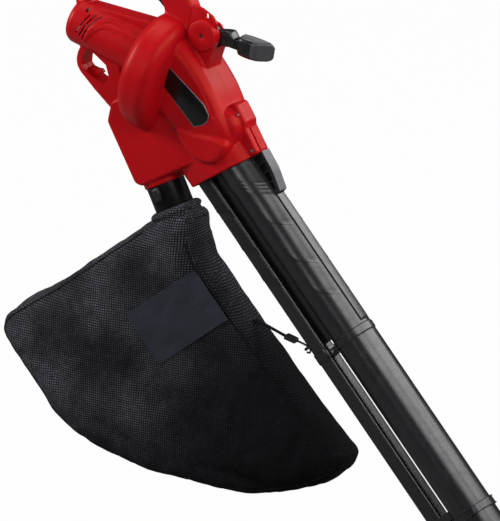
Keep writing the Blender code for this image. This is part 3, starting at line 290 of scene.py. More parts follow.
slotLooks = {
    "red_plastic": redPlastic, "black_plastic": blackPlastic, "grey_soft_grip": matteBlack,
    "bag_cloth": tapeCloth, "slate_patch": patchCoat, "steel": brightSteel, "motor_iron": motorIron,
    "copper": copperWire, "white_plastic": whitePlastic}
for row in frame["record"]["subparts"]:
    node = nodes[row["node"]]
    for holder in node.material_slots:
        holder.material = slotLooks[row["material_slot"]]
for holder in nodes["clamp_bolt"].material_slots:
    holder.material = motorIron
print("materials made")


# modelling helpers

def deselectAll():
    if bpy.context.object and bpy.context.object.mode != "OBJECT":
        bpy.ops.object.mode_set(mode="OBJECT")
    bpy.ops.object.select_all(action="DESELECT")


def pick(piece):
    deselectAll()
    piece.select_set(True)
    bpy.context.view_layer.objects.active = piece


def editAll(piece):
    pick(piece)
    bpy.ops.object.mode_set(mode="EDIT")
    bpy.ops.mesh.select_all(action="SELECT")


def leaveEdit():
    bpy.ops.object.mode_set(mode="OBJECT")


def meshPiece(name, verts, faces, place=toolPlace, edges=()):
    mesh = bpy.data.meshes.new(name)
    mesh.from_pydata([place @ (Vector(v) * mm) for v in verts], list(edges), faces)
    piece = bpy.data.objects.new(name, mesh)
    bpy.context.collection.objects.link(piece)
    if faces:
        editAll(piece)
        bpy.ops.mesh.normals_make_consistent(inside=False)
        leaveEdit()
    return piece


def skin(name, rings, place=toolPlace, around=False):
    # joins rings of equally many points; around joins the last ring to the first
    count = len(rings[0])
    verts = [p for ring in rings for p in ring]
    faces = []
    for k in range(len(rings) if around else len(rings) - 1):
        a, b = k * count, ((k + 1) % len(rings)) * count
        faces += [[a + i, a + (i + 1) % count, b + (i + 1) % count, b + i] for i in range(count)]
    if not around:
        faces += [list(range(count)), list(range((len(rings) - 1) * count, len(rings) * count))]
    return meshPiece(name, verts, faces, place)


def slab(name, outline, low, high, place=toolPlace):
    # an outline of (x, z) points extruded along y
    piece = meshPiece(name, [(x, low, z) for x, z in outline], [list(range(len(outline)))], place)
    editAll(piece)
    bpy.ops.mesh.extrude_region_move(TRANSFORM_OT_translate={"value": (0, (high - low) * mm, 0)})
    bpy.ops.mesh.select_all(action="SELECT")
    bpy.ops.mesh.normals_make_consistent(inside=False)
    leaveEdit()
    return piece


def spun(name, profile, closed, place, sides, centre, cross):
    # spins (along, radius) points about the frame's x, or about y when cross
    points = [Vector((r, a, 0) if cross else (a, 0, r)) + Vector(centre) for a, r in profile]
    count = len(points)
    edges = [(i, (i + 1) % count) for i in range(count if closed else count - 1)]
    piece = meshPiece(name, points, [], place, edges)
    editAll(piece)
    bpy.ops.mesh.spin(steps=sides, angle=2 * pi, center=place @ (Vector(centre) * mm),
                      axis=place.to_3x3() @ Vector((0, 1, 0) if cross else (1, 0, 0)))
    bpy.ops.mesh.select_all(action="SELECT")
    bpy.ops.mesh.remove_doubles(threshold=0.00001)
    bpy.ops.mesh.delete_loose(use_faces=False)
    bpy.ops.mesh.select_all(action="SELECT")
    bpy.ops.mesh.normals_make_consistent(inside=False)
    leaveEdit()
    return piece


def lathe(name, profile, place=toolPlace, sides=64, cross=False):
    return spun(name, profile, True, place, sides, (0, 0, 0), cross)


def rod(name, low, high, radius, place=toolPlace, sides=48, centre=(0, 0, 0), cross=False, round=0.0):
    # a solid round bar, its end edges rounded off
    rows = [(low, 0), (low, radius - round)]
    if round:
        rows += [(low + round * 0.3, radius - round * 0.3), (low + round, radius),
                 (high - round, radius), (high - round * 0.3, radius - round * 0.3)]
    rows += [(high, radius - round), (high, 0)]
    return spun(name, rows, False, place, sides, centre, cross)


def useModifier(piece, kind, **settings):
    pick(piece)
    step = piece.modifiers.new(kind.lower(), kind)
    for key, value in settings.items():
        setattr(step, key, value)
    bpy.ops.object.modifier_apply(modifier=step.name)
    return piece


def soften(piece, width, segments=3, angle=35):
    return useModifier(piece, "BEVEL", width=width * mm, segments=segments, limit_method="ANGLE",
                       angle_limit=radians(angle), harden_normals=False)


def recast(piece, voxel, passes):
    # one even skin over everything joined so far, then smoothed
    useModifier(piece, "REMESH", mode="VOXEL", voxel_size=voxel)
    return useModifier(piece, "SMOOTH", factor=0.5, iterations=passes)


def combine(piece, tools, operation="UNION"):
    for tool in tools:
        useModifier(piece, "BOOLEAN", operation=operation, solver="MANIFOLD", object=tool)
        bpy.data.objects.remove(tool, do_unlink=True)
    return piece


def carve(piece, *tools):
    return combine(piece, tools, "DIFFERENCE")


def sidewards(side, inner, outer):
    # the low and high y of a stretch on one side
    return sorted((side * inner, side * outer))


def twin(piece, name):
    other = piece.copy()
    other.data = piece.data.copy()
    other.name = name
    bpy.context.collection.objects.link(other)
    return other


def finishPiece(piece, material, body="root", replaced=(), angle=32):
    pick(piece)
    piece.data.materials.clear()
    piece.data.materials.append(material)
    bpy.ops.object.shade_smooth_by_angle(angle=radians(angle))
    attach(piece, body)
    if replaced:
        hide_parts(*replaced)
    return piece


def roundedRing(halfA, halfB, radius, steps=6):
    points = []
    for corner, (sa, sb) in enumerate([(1, 1), (-1, 1), (-1, -1), (1, -1)]):
        for i in range(steps + 1):
            a = radians(90 * corner + 90 * i / steps)
            points.append((sa * (halfA - radius) + radius * cos(a), sb * (halfB - radius) + radius * sin(a)))
    return points


def smoothRows(rows, steps):
    # runs a smooth curve through rows of numbers
    found = []
    for i in range(len(rows) - 1):
        a, b, c, d = rows[max(i - 1, 0)], rows[i], rows[i + 1], rows[min(i + 2, len(rows) - 1)]
        for k in range(steps):
            t = k / steps
            found.append([0.5 * (2 * q + (r - p) * t + (2 * p - 5 * q + 4 * r - s) * t * t
                                 + (3 * q - p - 3 * r + s) * t ** 3) for p, q, r, s in zip(a, b, c, d)])
    return found + [list(rows[-1])]


def insetOutline(outline, distance):
    count = len(outline)
    area = sum(outline[i][0] * outline[(i + 1) % count][1] - outline[(i + 1) % count][0] * outline[i][1]
               for i in range(count))
    side = distance if area > 0 else -distance
    moved = []
    for i in range(count):
        p, q, r = outline[i - 1], outline[i], outline[(i + 1) % count]
        d1, d2 = hypot(q[0] - p[0], q[1] - p[1]), hypot(r[0] - q[0], r[1] - q[1])
        n1 = (-(q[1] - p[1]) / d1, (q[0] - p[0]) / d1)
        n2 = (-(r[1] - q[1]) / d2, (r[0] - q[0]) / d2)
        k = side / (1 + n1[0] * n2[0] + n1[1] * n2[1])
        moved.append((q[0] + k * (n1[0] + n2[0]), q[1] + k * (n1[1] + n2[1])))
    return moved


# housing

shell = {"wall": 2.6, "barrelR": 49.5, "barrelRear": -236, "scrollRear": -50, "scrollFront": 27,
         "scrollRound": 27, "scrollMin": 86, "scrollGrowth": 62, "socketR": 53,
         "voxel": 0.0017, "parting": 0.22}
coverRows = [(-226, 8, 32, 84, 60, 30), (-190, 14, 22, 76, 60, 26), (-134, 14, 8, 66, 60, 22),
             (-92, 10, 3, 58, 60, 22), (-62, 8, 0, 54, 58, 25), (-42, 6, 0, 51, 54, 27),
             (-31, 5, 0, 45, 47, 28)]
ductOutline = [(-254, -141), (-228, -177), (-94, -206), (-80, -197), (-58, -98), (-51, -70),
               (-38, -46), (-52, -12), (-150, -12), (-230, -55)]
ductRoom = [(-250, -141), (-226, -174), (-95, -203), (-83, -195), (-61, -98), (-61, -60), (-150, -37),
            (-228, -58)]
loopOutline = [(-388, -142), (-381, -160), (-372, -172), (-360, -180), (-346, -182), (-300, -178),
               (-246, -170), (-240, -150), (-262, -120), (-300, -95), (-340, -95), (-370, -118)]
loopHole = [(-372, -140), (-367, -156), (-354, -170), (-340, -170), (-311, -159), (-295, -149),
            (-300, -130), (-322, -120), (-356, -128)]
hookOutline = [(-346, -176), (-342, -160), (-331, -153), (-325, -146), (-316, -146), (-318, -155),
               (-317, -163), (-318, -172)]
archRows = [
    (-352, 250, 19, 17), (-357, 272, 19, 17), (-361, 300, 19, 17), (-358, 328, 19.5, 17),
    (-345, 352, 20, 17), (-318, 366, 20, 17), (-285, 369, 20, 17), (-250, 368, 20, 17),
    (-215, 364, 20.5, 17), (-182, 354, 24, 17.5), (-155, 338, 29, 18), (-136, 314, 34, 19),
    (-126, 285, 37, 20), (-121, 256, 38, 21), (-115, 232, 38, 21)]

ledgeOutline = [(-262, 96), (-232, 88), (-92, 49.5), (-84, 70), (-112, 140), (-262, 140)]
# each well's place, how deep its seat lies from the middle, and its side: 1 right, -1 left
screwWells = [((-72, 80), 22.0, 1), ((2, 60), 20.5, 1), ((-34, -54), 45.0, -1), ((-262, -176), 8.0, -1),
              ((-429.9, -73.9), 25.1, 1), ((-308.0, 106.0), 17.0, -1)]


def barrelPoint(along, angle, radius):
    # a point on a ring round the motor's axis; the angle runs from the top down the right side
    return (along, -radius * sin(radians(angle)), radius * cos(radians(angle)))


def scrollRadius(turn):
    if turn > 180:
        return shell["scrollMin"] + shell["scrollGrowth"] * (0.5 + 0.5 * cos(pi * (turn - 180) / 90))
    return shell["scrollMin"] + shell["scrollGrowth"] * (turn + 90) / 270


def scrollRing(along, less, count):
    turns = [-90 + 360 * i / count for i in range(count)]
    return [barrelPoint(along, turn, scrollRadius(turn) - less) for turn in turns]


def scrollForm(name, low, high, less, round, count=120, steps=8):
    # the fan's spiral casing, its rear and front edges rounded
    rings = []
    for i in range(steps + 1):
        a = radians(90 - 90 * i / steps)
        rings.append(scrollRing(low + round * (1 - sin(a)), less + round * (1 - cos(a)), count))
    for i in range(steps):
        a = radians(90 * i / (steps - 1))
        rings.append(scrollRing(high - round * (1 - sin(a)), less + round * (1 - cos(a)), count))
    return skin(name, rings, motorPlace)


def coverForm(name, rows, steps=5):
    # rows of (x, z, tilt, half height, half width, corner radius)
    rings = []
    for x, z, tilt, halfH, halfW, radius in smoothRows(rows, steps):
        c, s = cos(radians(tilt)), sin(radians(tilt))
        rings.append([(x - s * b, a, z + c * b) for a, b in roundedRing(halfW, halfH, radius, 8)])
    return skin(name, rings)


def archForm(name, rows, less=0.0, steps=5, span=(0, 99)):
    # a handle along rows of (x, z, half height, half width), with well rounded edges
    rings = []
    path = smoothRows(rows, steps)[span[0] * steps:span[1] * steps + 1]
    for i, (x, z, half, depth) in enumerate(path):
        before, after = path[max(i - 1, 0)], path[min(i + 1, len(path) - 1)]
        size = hypot(after[0] - before[0], after[1] - before[1])
        nx, nz = -(after[1] - before[1]) / size, (after[0] - before[0]) / size
        ring = roundedRing(depth - less, half - less, (depth - less) * 0.55, 6)
        rings.append([(x + nx * b, a, z + nz * b) for a, b in ring])
    return skin(name, rings, uprightPlace)


def barrelStrip(name, path, halfWidth, low, high, side):
    # a band that follows (along, angle) points on the barrel, between two radii
    rows = smoothRows(path, 6)
    rings = []
    for i, (along, angle) in enumerate(rows):
        before, after = rows[max(i - 1, 0)], rows[min(i + 1, len(rows) - 1)]
        dx = after[0] - before[0]
        dy = (after[1] - before[1]) * pi / 180 * shell["barrelR"]
        size = hypot(dx, dy)
        acrossX, acrossY = -dy / size * halfWidth, dx / size * halfWidth
        turn = acrossY / shell["barrelR"] * 180 / pi
        ring = [barrelPoint(along + way * acrossX, angle + way * turn, radius)
                for way, radius in ((1, low), (1, high), (-1, high), (-1, low))]
        rings.append([(x, side * y, z) for x, y, z in ring])
    return skin(name, rings, motorPlace)


def pillow(name, points, sides):
    # a rounded outline that draws in towards both faces
    count = len(points)
    turned = points[-1:] + points + points[:2]
    outline = [tuple(p) for p in smoothRows(turned, 8)[8:8 + 8 * count]]
    rows = [(-y, inset) for y, inset in reversed(sides)] + list(sides)
    return skin(name, [[(x, y, z) for x, z in insetOutline(outline, inset)] for y, inset in rows])


def socketOutline():
    arch = [(shell["socketR"] * cos(pi * i / 32), shell["socketR"] * sin(pi * i / 32)) for i in range(33)]
    return arch + [(-51, -45), (-36, -98), (-26, -108), (26, -108), (36, -98), (51, -45)]


def housingOutside():
    whole = rod("housing_right_shell", shell["barrelRear"], shell["scrollRear"] + 12, shell["barrelR"],
                motorPlace, 96, round=13)
    socket = socketOutline()
    ledges = [barrelStrip("ledge", path, width, 44, high, side) for side in (1, -1) for path, width, high in (
        ([(-186, 112), (-166, 74), (-150, 56), (-120, 50), (-84, 47), (-40, 45)], 4.5, 52.2),
        ([(-178, 84), (-160, 52), (-146, 38), (-120, 34), (-84, 32), (-40, 31)], 3.5, 53.4))]
    combine(whole, ledges + [
        scrollForm("scroll", shell["scrollRear"], shell["scrollFront"], 0, shell["scrollRound"]),
        coverForm("cover", coverRows),
        skin("socket", [[(-62, a, b) for a, b in socket], [(3 + 0.17 * b, a, b) for a, b in socket]]),
        soften(slab("duct", ductOutline, -48, 48), 6, 4),
        rod("neck_boss", -17.6, 3, 42.9, neckPlace, 72),
        soften(slab("spine", [(-356, 256), (-354, 281), (-342, 286), (-196, 270), (-178, 258), (-172, 235),
                              (-200, 215), (-330, 225)], -21, 21, uprightPlace), 5, 3),
        archForm("arch", archRows),
        rod("hub", -30, 0, 32, hubPlace, 72, cross=True),
        rod("hub_ear", -10, 21.3, 20, hubPlace, 72, cross=True),
        soften(slab("hub_base", [(-95, 252), (-39, 243), (-50, 214), (-60, 182), (-120, 190),
                                 (-130, 235)], -28, 28, uprightPlace), 4),
        soften(slab("ridge", [(-98, 46), (-98, 82), (-91, 91.5), (-50, 85), (-42, 78), (14.5, 67.5),
                              (11, 47)], -23, 23), 5, 4),
        pillow("dome", [(-106, 30), (-100, 62), (-80, 77), (-52, 74), (-36, 58), (-30, 30), (-60, 10)],
               [(28, 0), (36, 2.5), (41, 7), (43.5, 14)]),
        pillow("nose", [(-128, -36), (-92, 0), (-58, 34), (-32, 42), (-18, 20), (-22, -16), (-54, -44),
                        (-96, -48)],
               [(48, 0), (55, 1.2), (60, 4), (62.8, 8), (63.8, 12)]),
        soften(slab("loop_plate", loopOutline, -20, 20), 2.5),
        rod("inlet_boss", -386, -356, 16.3, uprightPlace, 48, centre=(0, 0, 338))])
    recast(whole, shell["voxel"], 4)
    carve(whole, *[slab("ledge_cut", ledgeOutline, *sidewards(side, 57, 90)) for side in (-1, 1)])
    return recast(whole, shell["voxel"], 2)


def hollowHousing(whole):
    wall = shell["wall"]
    hollowCover = [(-206, 12, 28, 71.4, 55, 22)] + [
        (x, z, tilt, h - wall, min(w - wall, 55), r - wall) for x, z, tilt, h, w, r in coverRows[2:]]
    relief = insetOutline(socketOutline(), wall)
    carve(
        whole,
        rod("barrel_hollow", shell["barrelRear"] + 9, shell["scrollRear"] - wall,
            shell["barrelR"] - wall, motorPlace, 64),
        scrollForm("scroll_hollow", shell["scrollRear"] + wall, shell["scrollFront"] - wall, wall,
                   shell["scrollRound"] - wall, 90, 5),
        rod("shaft_hole", shell["scrollRear"] - 12, shell["scrollRear"] + 20, 19, motorPlace),
        rod("eye_hole", shell["scrollFront"] - 8, shell["scrollFront"] + 14, 50, motorPlace),
        coverForm("cover_hollow", hollowCover, 3),
        slab("duct_hollow", ductRoom, -(48 - wall), 48 - wall),
        skin("blower_hole", [[(x, a, b - 82.5) for a, b in roundedRing(19.3, 18.3, 9.3)]
                             for x in (-74, 40)]),
        rod("suction_hole", -78, 60, 43.8, sides=72),
        rod("neck_hole", -15, 30, 40.3, neckPlace, 72),
        archForm("arch_hollow", archRows[1:12], wall, 3),
        rod("fork_slot", -15.3, 15.3, 34, hubPlace, 72, cross=True),
        rod("bolt_hole", -60, 60, 4.3, hubPlace, 32, cross=True),
        rod("bolt_recess", -60, -25, 8.3, hubPlace, 32, cross=True),
        slab("loop_opening", loopHole, -40, 40),
        slab("ridge_groove", [(-40, 98), (-40, 75.2), (9, 66), (9, 98)], -12, -5),
        rod("flap_hole", 42.8, 58, 4.3, centre=(-71, 0, -103), cross=True),
        slab("trigger_slot", [(-222, 340), (-205, 318), (-165, 292), (-147, 314), (-158, 356), (-196, 366),
                              (-222, 362)], -9.3, 9.3, uprightPlace),
        slab("dial_slot", [(-199.5, 369), (-172.5, 369), (-172.5, 415), (-199.5, 415)], -5.4, 5.4,
             uprightPlace),
        rod("inlet_hole", -396, -360, 14, uprightPlace, 48, centre=(0, 0, 338)),
        skin("socket_relief", [[(x, a, b) for a, b in relief] for x in (-56, -5)]))
    for path in ([(-205, 102), (-198, 75), (-190, 47)], [(-196, 105), (-188, 73), (-178, 41)],
                 [(-188, 110), (-179, 72), (-166, 37)]):
        for side in (-1, 1):
            carve(whole, barrelStrip("vent", path, 1.7, 42, 58, side))
    combine(whole, [soften(slab("cable_hook", hookOutline, -6, 6), 1.5)])
    for (x, z), seat, side in screwWells:
        carve(whole, rod("screw_well", *sidewards(-side, seat, 120), 3.9, centre=(x, 0, z), cross=True,
                         sides=32))


def splitHousing(whole):
    # two half shells with a fine parting line between them
    other = twin(whole, "housing_left_shell")
    for piece, low, high, node in ((whole, -200, -shell["parting"], "housing_right"),
                                   (other, shell["parting"], 200, "housing_left")):
        half = slab("half", [(-700, -400), (300, -400), (300, 400), (-700, 400)], low, high)
        combine(piece, [half], "INTERSECT")
        finishPiece(piece, redPlastic, replaced=[node], angle=40)


def makeStrapEye():
    eye = soften(slab("strap_eye_plate", [(-96, 285), (-90, 321), (-68, 315), (-45, 302), (-34, 288),
                                          (-38, 262), (-90, 262)], -25, -18, uprightPlace), 1.5, 3)
    carve(eye, slab("eye", [(-57 + a, 301 + b) for a, b in roundedRing(4, 6, 3.9, 4)], -40, 0, uprightPlace))
    finishPiece(eye, redPlastic)


housing = housingOutside()
hollowHousing(housing)
makeStrapEye()
splitHousing(housing)
print("housing made")


def makeLabel():
    outline = [(-228, 35), (-125.5, 53.5), (-102, 48.6), (-94, 38), (-94, 23), (-103, 2.5), (-208, -3.6)]
    rim = soften(slab("label_rim", outline, -61.3, -60.25), 0.3, 2)
    finishPiece(rim, silverLine)
    face = soften(slab("label_face", insetOutline(outline, 1.3), -61.9, -60.4), 0.3, 2)
    finishPiece(face, labelBlack, replaced=["label_plate"])


makeLabel()


# tubes

tube = {"outer": 43.5, "wall": 2.4, "seat": -78, "joint": 410, "spigot": 458, "spigotR": 40.8,
        "collarR": 45.3, "collarEnd": 426, "flangeR": 48.5, "flanges": (834, 850), "mouth": 930,
        "mouthSlope": 0.5}
blower = {"drop": 82.5, "halfWidth": 19, "halfHeight": 18, "round": 9, "wall": 2.2, "seat": -54,
          "joint": 402, "spigot": 440, "end": 895}


def channelForm(name, low, high, grow, slope=0.0):
    ring = roundedRing(blower["halfWidth"] + grow, blower["halfHeight"] + grow, blower["round"] + grow, 8)
    return skin(name, [[(x + lean * b, a, b - blower["drop"]) for a, b in ring]
                       for x, lean in ((low, 0.0), (high, slope))])


def slantStep(name, start, radius, rise, length, low, high, sides=30):
    # a shallow step across a round tube, where forward less up is the same all along
    rings = []
    for i in range(sides + 1):
        a = radians(low + (high - low) * i / sides)
        fade = min(1.0, 5 * i / sides, 5 * (sides - i) / sides)
        ring = []
        for back, out in ((length, -0.6), (length * 0.5, rise * fade * 0.35), (0.8, rise * fade),
                          (0.0, rise * fade * 0.9), (-0.5, -0.6)):
            r = radius + out
            ring.append((start + radius * cos(a) - back, -r * sin(a), r * cos(a)))
        rings.append(ring)
    return skin(name, rings)


def makeRearTube():
    body = lathe("rear_tube_shell", [
        (tube["seat"], 30), (tube["seat"], tube["outer"]), (tube["joint"] - 1.4, tube["outer"]),
        (tube["joint"] - 0.4, tube["outer"] - 0.8), (tube["joint"] - 0.4, tube["spigotR"]),
        (tube["spigot"] - 1.5, tube["spigotR"]), (tube["spigot"], tube["spigotR"] - 1), (tube["spigot"], 30)],
        sides=128)
    bore = tube["outer"] - tube["wall"]
    strip = slab("top_strip", [(96, 40), (96, 45.2), (398, 45.2), (404, 44.2), (404, 40)], -12.6, 12.6)
    soften(strip, 0.9, 3)
    block = slab("latch_block", [(8.5, 38), (13.5, 73.5), (56, 68.5), (64, 66), (99, 55), (103, 38)], -14, 14)
    soften(block, 1.2, 3)
    web = slab("tube_web", [(-20, -66), (396, -66), (396, -42), (-20, -42)], -4, 4)
    lug = skin("bag_lug", [[(x, a, b) for a, b in [(-8, -98), (-8, -111), (-4, -118.5), (4, -118.5),
                                                   (8, -111), (8, -98)]] for x in (377.5, 382.5)])
    steps = [slantStep("slant_step", start, tube["outer"], 1.1, 24, low, high)
             for start in (129, 221, 297) for low, high in ((16.5, 88), (-88, -16.5))]
    contours = [slantStep("contour_step", start, tube["outer"], 0.55, 8, low, high)
                for start in (30, 38, 47, 57) for low, high in ((18, 82), (-82, -18))]
    channel = channelForm("channel", blower["seat"], blower["joint"] - 0.3, 0)
    spigot = channelForm("channel_spigot", blower["joint"] - 20, blower["spigot"], -2.5)
    combine(body, [strip, block, web, lug, channel, spigot] + steps + contours)
    combine(body, [skin("side_step", [[(start + z + x, side * y, z) for x, y in (
        (-18, 18.6), (0, 18.6), (0, 19.9), (-0.7, 19.9))] for z in (-68.5, -96.5)])
                   for start in (152, 244, 318) for side in (-1, 1)])
    for side in (-1, 1):
        for low, high, top in ((15, 32, 68.3), (34, 51, 65.8), (53, 72, 60.5), (74, 90, 53)):
            outline = [(low, 45.8), (high, 45.8), (high, top - (high - low) * 0.2), (low, top)]
            carve(body, slab("pocket", outline, *sidewards(side, 1.5, 20)))
    carve(body,
          rod("suction_bore", tube["seat"] - 5, tube["joint"] - 6, bore, sides=128),
          rod("spigot_bore", tube["joint"] - 12, tube["spigot"] + 5, tube["spigotR"] - tube["wall"],
              sides=128),
          channelForm("blower_bore", blower["seat"] - 5, blower["joint"] - 5, -blower["wall"]),
          channelForm("blower_spigot_bore", blower["joint"] - 12, blower["spigot"] + 5, -4.7),
          rod("lug_hole", 370, 390, 5, centre=(0, 0, -110.5), sides=32))
    finishPiece(body, blackPlastic, replaced=["rear_tube"], angle=30)
    # painted highlight: a grey strip over the latch block's top, where the top light falls
    topLine = [(13.8, 73.6), (56, 68.6), (64.2, 66.1), (98.6, 55.2)]
    underLine = [(98.5, 54.7), (64, 65.6), (56, 68.1), (13.7, 73.1)]
    paintedTopStrip = skin("latch_painted_highlight", [[(x, y, z) for x, z in topLine + underLine] for y in (-12.4, 12.4)])
    finishPiece(paintedTopStrip, paintedHighlightGrey)


def makeFrontTubes():
    r = tube["outer"]
    rows = [(tube["joint"], r - tube["wall"]), (tube["joint"], tube["collarR"] - 0.5),
            (tube["joint"] + 0.5, tube["collarR"]), (tube["collarEnd"] - 1, tube["collarR"]),
            (tube["collarEnd"] + 1.6, r)]
    for at in tube["flanges"]:
        rows += [(at, r), (at, tube["flangeR"] - 0.5), (at + 0.5, tube["flangeR"]),
                 (at + 1.3, tube["flangeR"]), (at + 1.8, tube["flangeR"] - 0.5), (at + 1.8, r)]
    rows += [(tube["mouth"] + 40, r), (tube["mouth"] + 40, r - tube["wall"])]
    body = lathe("front_tube_shell", rows, sides=128)
    cutter = skin("mouth_cut", [[(x + tube["mouthSlope"] * b, a, b) for a, b in roundedRing(90, 90, 2, 1)]
                                for x in (tube["mouth"], tube["mouth"] + 200)])
    carve(body, cutter)
    finishPiece(body, blackPlastic, replaced=["front_suction_tube"], angle=30)
    lower = channelForm("front_channel_shell", blower["joint"], blower["end"], 0, tube["mouthSlope"])
    collar = channelForm("channel_collar", blower["joint"] + 0.3, blower["joint"] + 24, 1.8)
    combine(lower, [soften(collar, 1.2, 2, 60)])
    carve(lower, channelForm("channel_bore", blower["joint"] - 5, blower["end"] + 40, -blower["wall"]))
    finishPiece(lower, blackPlastic, replaced=["front_blower_tube"], angle=30)


makeRearTube()
makeFrontTubes()
print("tubes made")


# second handle

def planForm(name, outline, low, high, place=auxPlace):
    return skin(name, [[(x, y, z) for x, y in outline] for z in (low, high)], place)


def gripRings():
    # the grip's section swells in the middle; its ends lean with the plan
    rings = []
    for i in range(13):
        t = i / 12
        swell = 1 - 0.10 * (2 * t - 1) ** 2 if 0 < i < 12 else 0.78
        ring = []
        for y, z in roundedRing(17.5 * swell, 21.5 * swell, 11 * swell, 8):
            lean = (y + 16) / 32
            near = 74 + (116 - 74) * t
            far = 66 + (147 - 66) * t
            ring.append((near + (far - near) * lean, y, z - 2))
        rings.append(ring)
    return rings


def makeGripPaintedHighlight():
    # painted highlight: a grey strip along the grip's top, where the top light falls
    rings = []
    for i in range(1, 12):
        t = i / 12
        top = 21.5 * (1 - 0.10 * (2 * t - 1) ** 2) - 2
        rings.append([(74 + 42 * t + (39 * t - 8) * (y + 16) / 32, y, z)
                      for y, z in ((-10, top - 2), (-10, top + 0.25), (10, top + 0.25), (10, top - 2))])
    finishPiece(skin("grip_top_painted_highlight", rings, auxPlace), paintedHighlightGrey, "second_handle")


def makeSecondHandle():
    disc = lathe("hub_disc_shell", [(-30.3, 4.6), (-30.3, 31), (-34.6, 31), (-35.4, 30.6), (-36, 29.6),
                                    (-36, 6.4), (-35.2, 4.6)], hubPlace, 96, cross=True)
    finishPiece(disc, redPlastic, replaced=["hub_disc"])
    arm = rod("aux_arm_shell", -15, 15, 18, hubPlace, 72, cross=True, round=1.5)
    bar = soften(slab("arm_bar", [(0, 11), (14, 8), (40, 11), (54, 11), (64, -4), (60, -20), (44, -22),
                                  (20, -16), (0, -14)], -13, 13, hubPlace), 4)
    core = slab("arm_core", [(52, -13), (108, -13), (108, 5), (52, 5)], -9, 9, auxPlace)
    combine(arm, [bar, core])
    carve(arm, rod("arm_bore", -40, 40, 4.3, hubPlace, cross=True))
    finishPiece(arm, blackPlastic, "second_handle", ["aux_arm"])
    whole = skin("aux_grip_shell", gripRings(), auxPlace)
    recast(whole, 0.0014, 6)
    end = twin(whole, "aux_end_shell")
    near = planForm("near", [(20, -60), (105 - 42.6, -60), (136 + 42.6, 60), (20, 60)], -60, 60)
    far = planForm("far", [(105.3 - 42.6, -60), (300, -60), (300, 60), (136.3 + 42.6, 60)], -60, 60)
    combine(whole, [near], "INTERSECT")
    combine(end, [far], "INTERSECT")
    carve(whole, slab("socket", [(32, -13.3), (108.3, -13.3), (108.3, 5.3), (32, 5.3)], -9.3, 9.3, auxPlace))
    finishPiece(whole, blackPlastic, "second_handle", ["aux_grip"])
    finishPiece(end, greyEnd, "second_handle", ["aux_grip_end"])


def makeGripCover():
    cover = archForm("grip_cover_shell", archRows, -1.9, 8, span=(4, 7))
    soften(cover, 0.7, 3, 60)
    carve(cover, archForm("grip_room", archRows, -0.3, 8, span=(3, 8)))
    finishPiece(cover, matteBlack, replaced=["grip_cover"], angle=40)


makeSecondHandle()
makeGripPaintedHighlight()
makeGripCover()
print("second handle made")


# neck and release button

def makeNeck():
    neck = lathe("neck_shell", [(-14, 37.5), (-14, 40), (74.5, 40), (76, 39.4), (76, 37.5)], neckPlace, 96)
    pad = soften(slab("button_pad", [(5, -11), (36, -11), (36, 11), (5, 11)], -45.5, -37, neckPlace), 2, 3)
    rail = [(3.2, -12.6), (38.2, -12.6), (38.2, 12.6), (3.2, 12.6)]
    frameLine = slab("pad_line", rail, -43.2, -37, neckPlace)
    combine(neck, [frameLine, pad])
    carve(neck, slab("pocket", [(7.7, -8.3), (33.3, -8.3), (33.3, 8.3), (7.7, 8.3)], -55, -39.4, neckPlace),
          rod("neck_bore", -25, 81, 37.5, neckPlace, 96))
    # the neck takes the darker copy of the black plastic: painted shade
    finishPiece(neck, paintedShadeBlack, replaced=["bag_adapter"])
    button = slab("button_shell", [(8, -8), (33, -8), (33, 8), (8, 8)], -46.7, -42.3, neckPlace)
    soften(button, 1.2, 3)
    for i in range(5):
        x = 11.5 + 4 * i
        rib = soften(slab("button_rib", [(x, -6.2), (x + 1.8, -6.2), (x + 1.8, 6.2), (x, 6.2)], -47.5, -45,
                          neckPlace), 0.4, 2)
        combine(button, [rib])
    finishPiece(button, blackPlastic, "release_button", ["adapter_button"])


makeNeck()
print("neck made")


# bag

bag = {"voxel": 0.008, "skinVoxel": 0.0022, "cap": 0.012, "pressure": 4.0,
       "frames": 20, "quality": 6, "seam": 10,
       "layers": [(-54, 8), (-50, 1), (-38, -6), (-16, -10), (16, -10), (38, -6), (50, 1), (54, 8)]}
# soft hollows and swellings of a side panel: centre x and z, long and short reach, angle, depth
bagDents = [
    (-160, -502, 95, 38, -33, -13), (185, -480, 110, 45, -51, -15), (-60, -190, 45, 13, -75, -9),
    (-290, -250, 35, 10, -60, -8), (-479, -385, 40, 20, -45, -7), (-314, -400, 110, 75, -35, 9),
    (-31, -530, 90, 38, -50, 9), (-118, -190, 45, 18, -70, 6), (-290, -349, 38, 9, -45, 4),
    (60, -330, 90, 30, -50, 5), (-400, -500, 60, 18, -50, -8), (20, -640, 90, 16, -5, -8),
    (-260, -600, 70, 16, -25, -8)]
bagOutline = [
    (-194, -142), (-280, -205), (-424, -311), (-516, -372), (-548, -404), (-550, -436), (-514, -480),
    (-428, -586), (-372, -626), (-298, -654), (-192, -678), (-38, -686), (57, -684), (154, -658),
    (228, -626), (262, -598), (270, -574), (244, -546), (178, -478), (15, -295), (-65, -203),
    (-92, -140), (-100.5, -106)]
patchCorners = [(-229, -337.5), (-71, -221), (9, -312), (-149, -431)]
cuffRows = [(53, 41.2), (54, 46), (57, 51.5), (62, 54.5), (67, 52.5), (70, 48.5), (74, 50.5), (82, 56),
            (92, 58), (92, 41.2)]


def finishCloth(piece, material, replaced=()):
    # cloth also gets a map in metres, which its weave follows
    finishPiece(piece, material, replaced=replaced, angle=60)
    editAll(piece)
    bpy.ops.uv.cube_project(cube_size=1.0)
    leaveEdit()


def edgeDistance(x, z, outline):
    best = 1e9
    for i in range(len(outline)):
        (ax, az), (bx, bz) = outline[i - 1], outline[i]
        dx, dz = bx - ax, bz - az
        t = max(0, min(1, ((x - ax) * dx + (z - az) * dz) / (dx * dx + dz * dz)))
        best = min(best, hypot(x - ax - t * dx, z - az - t * dz))
    return best


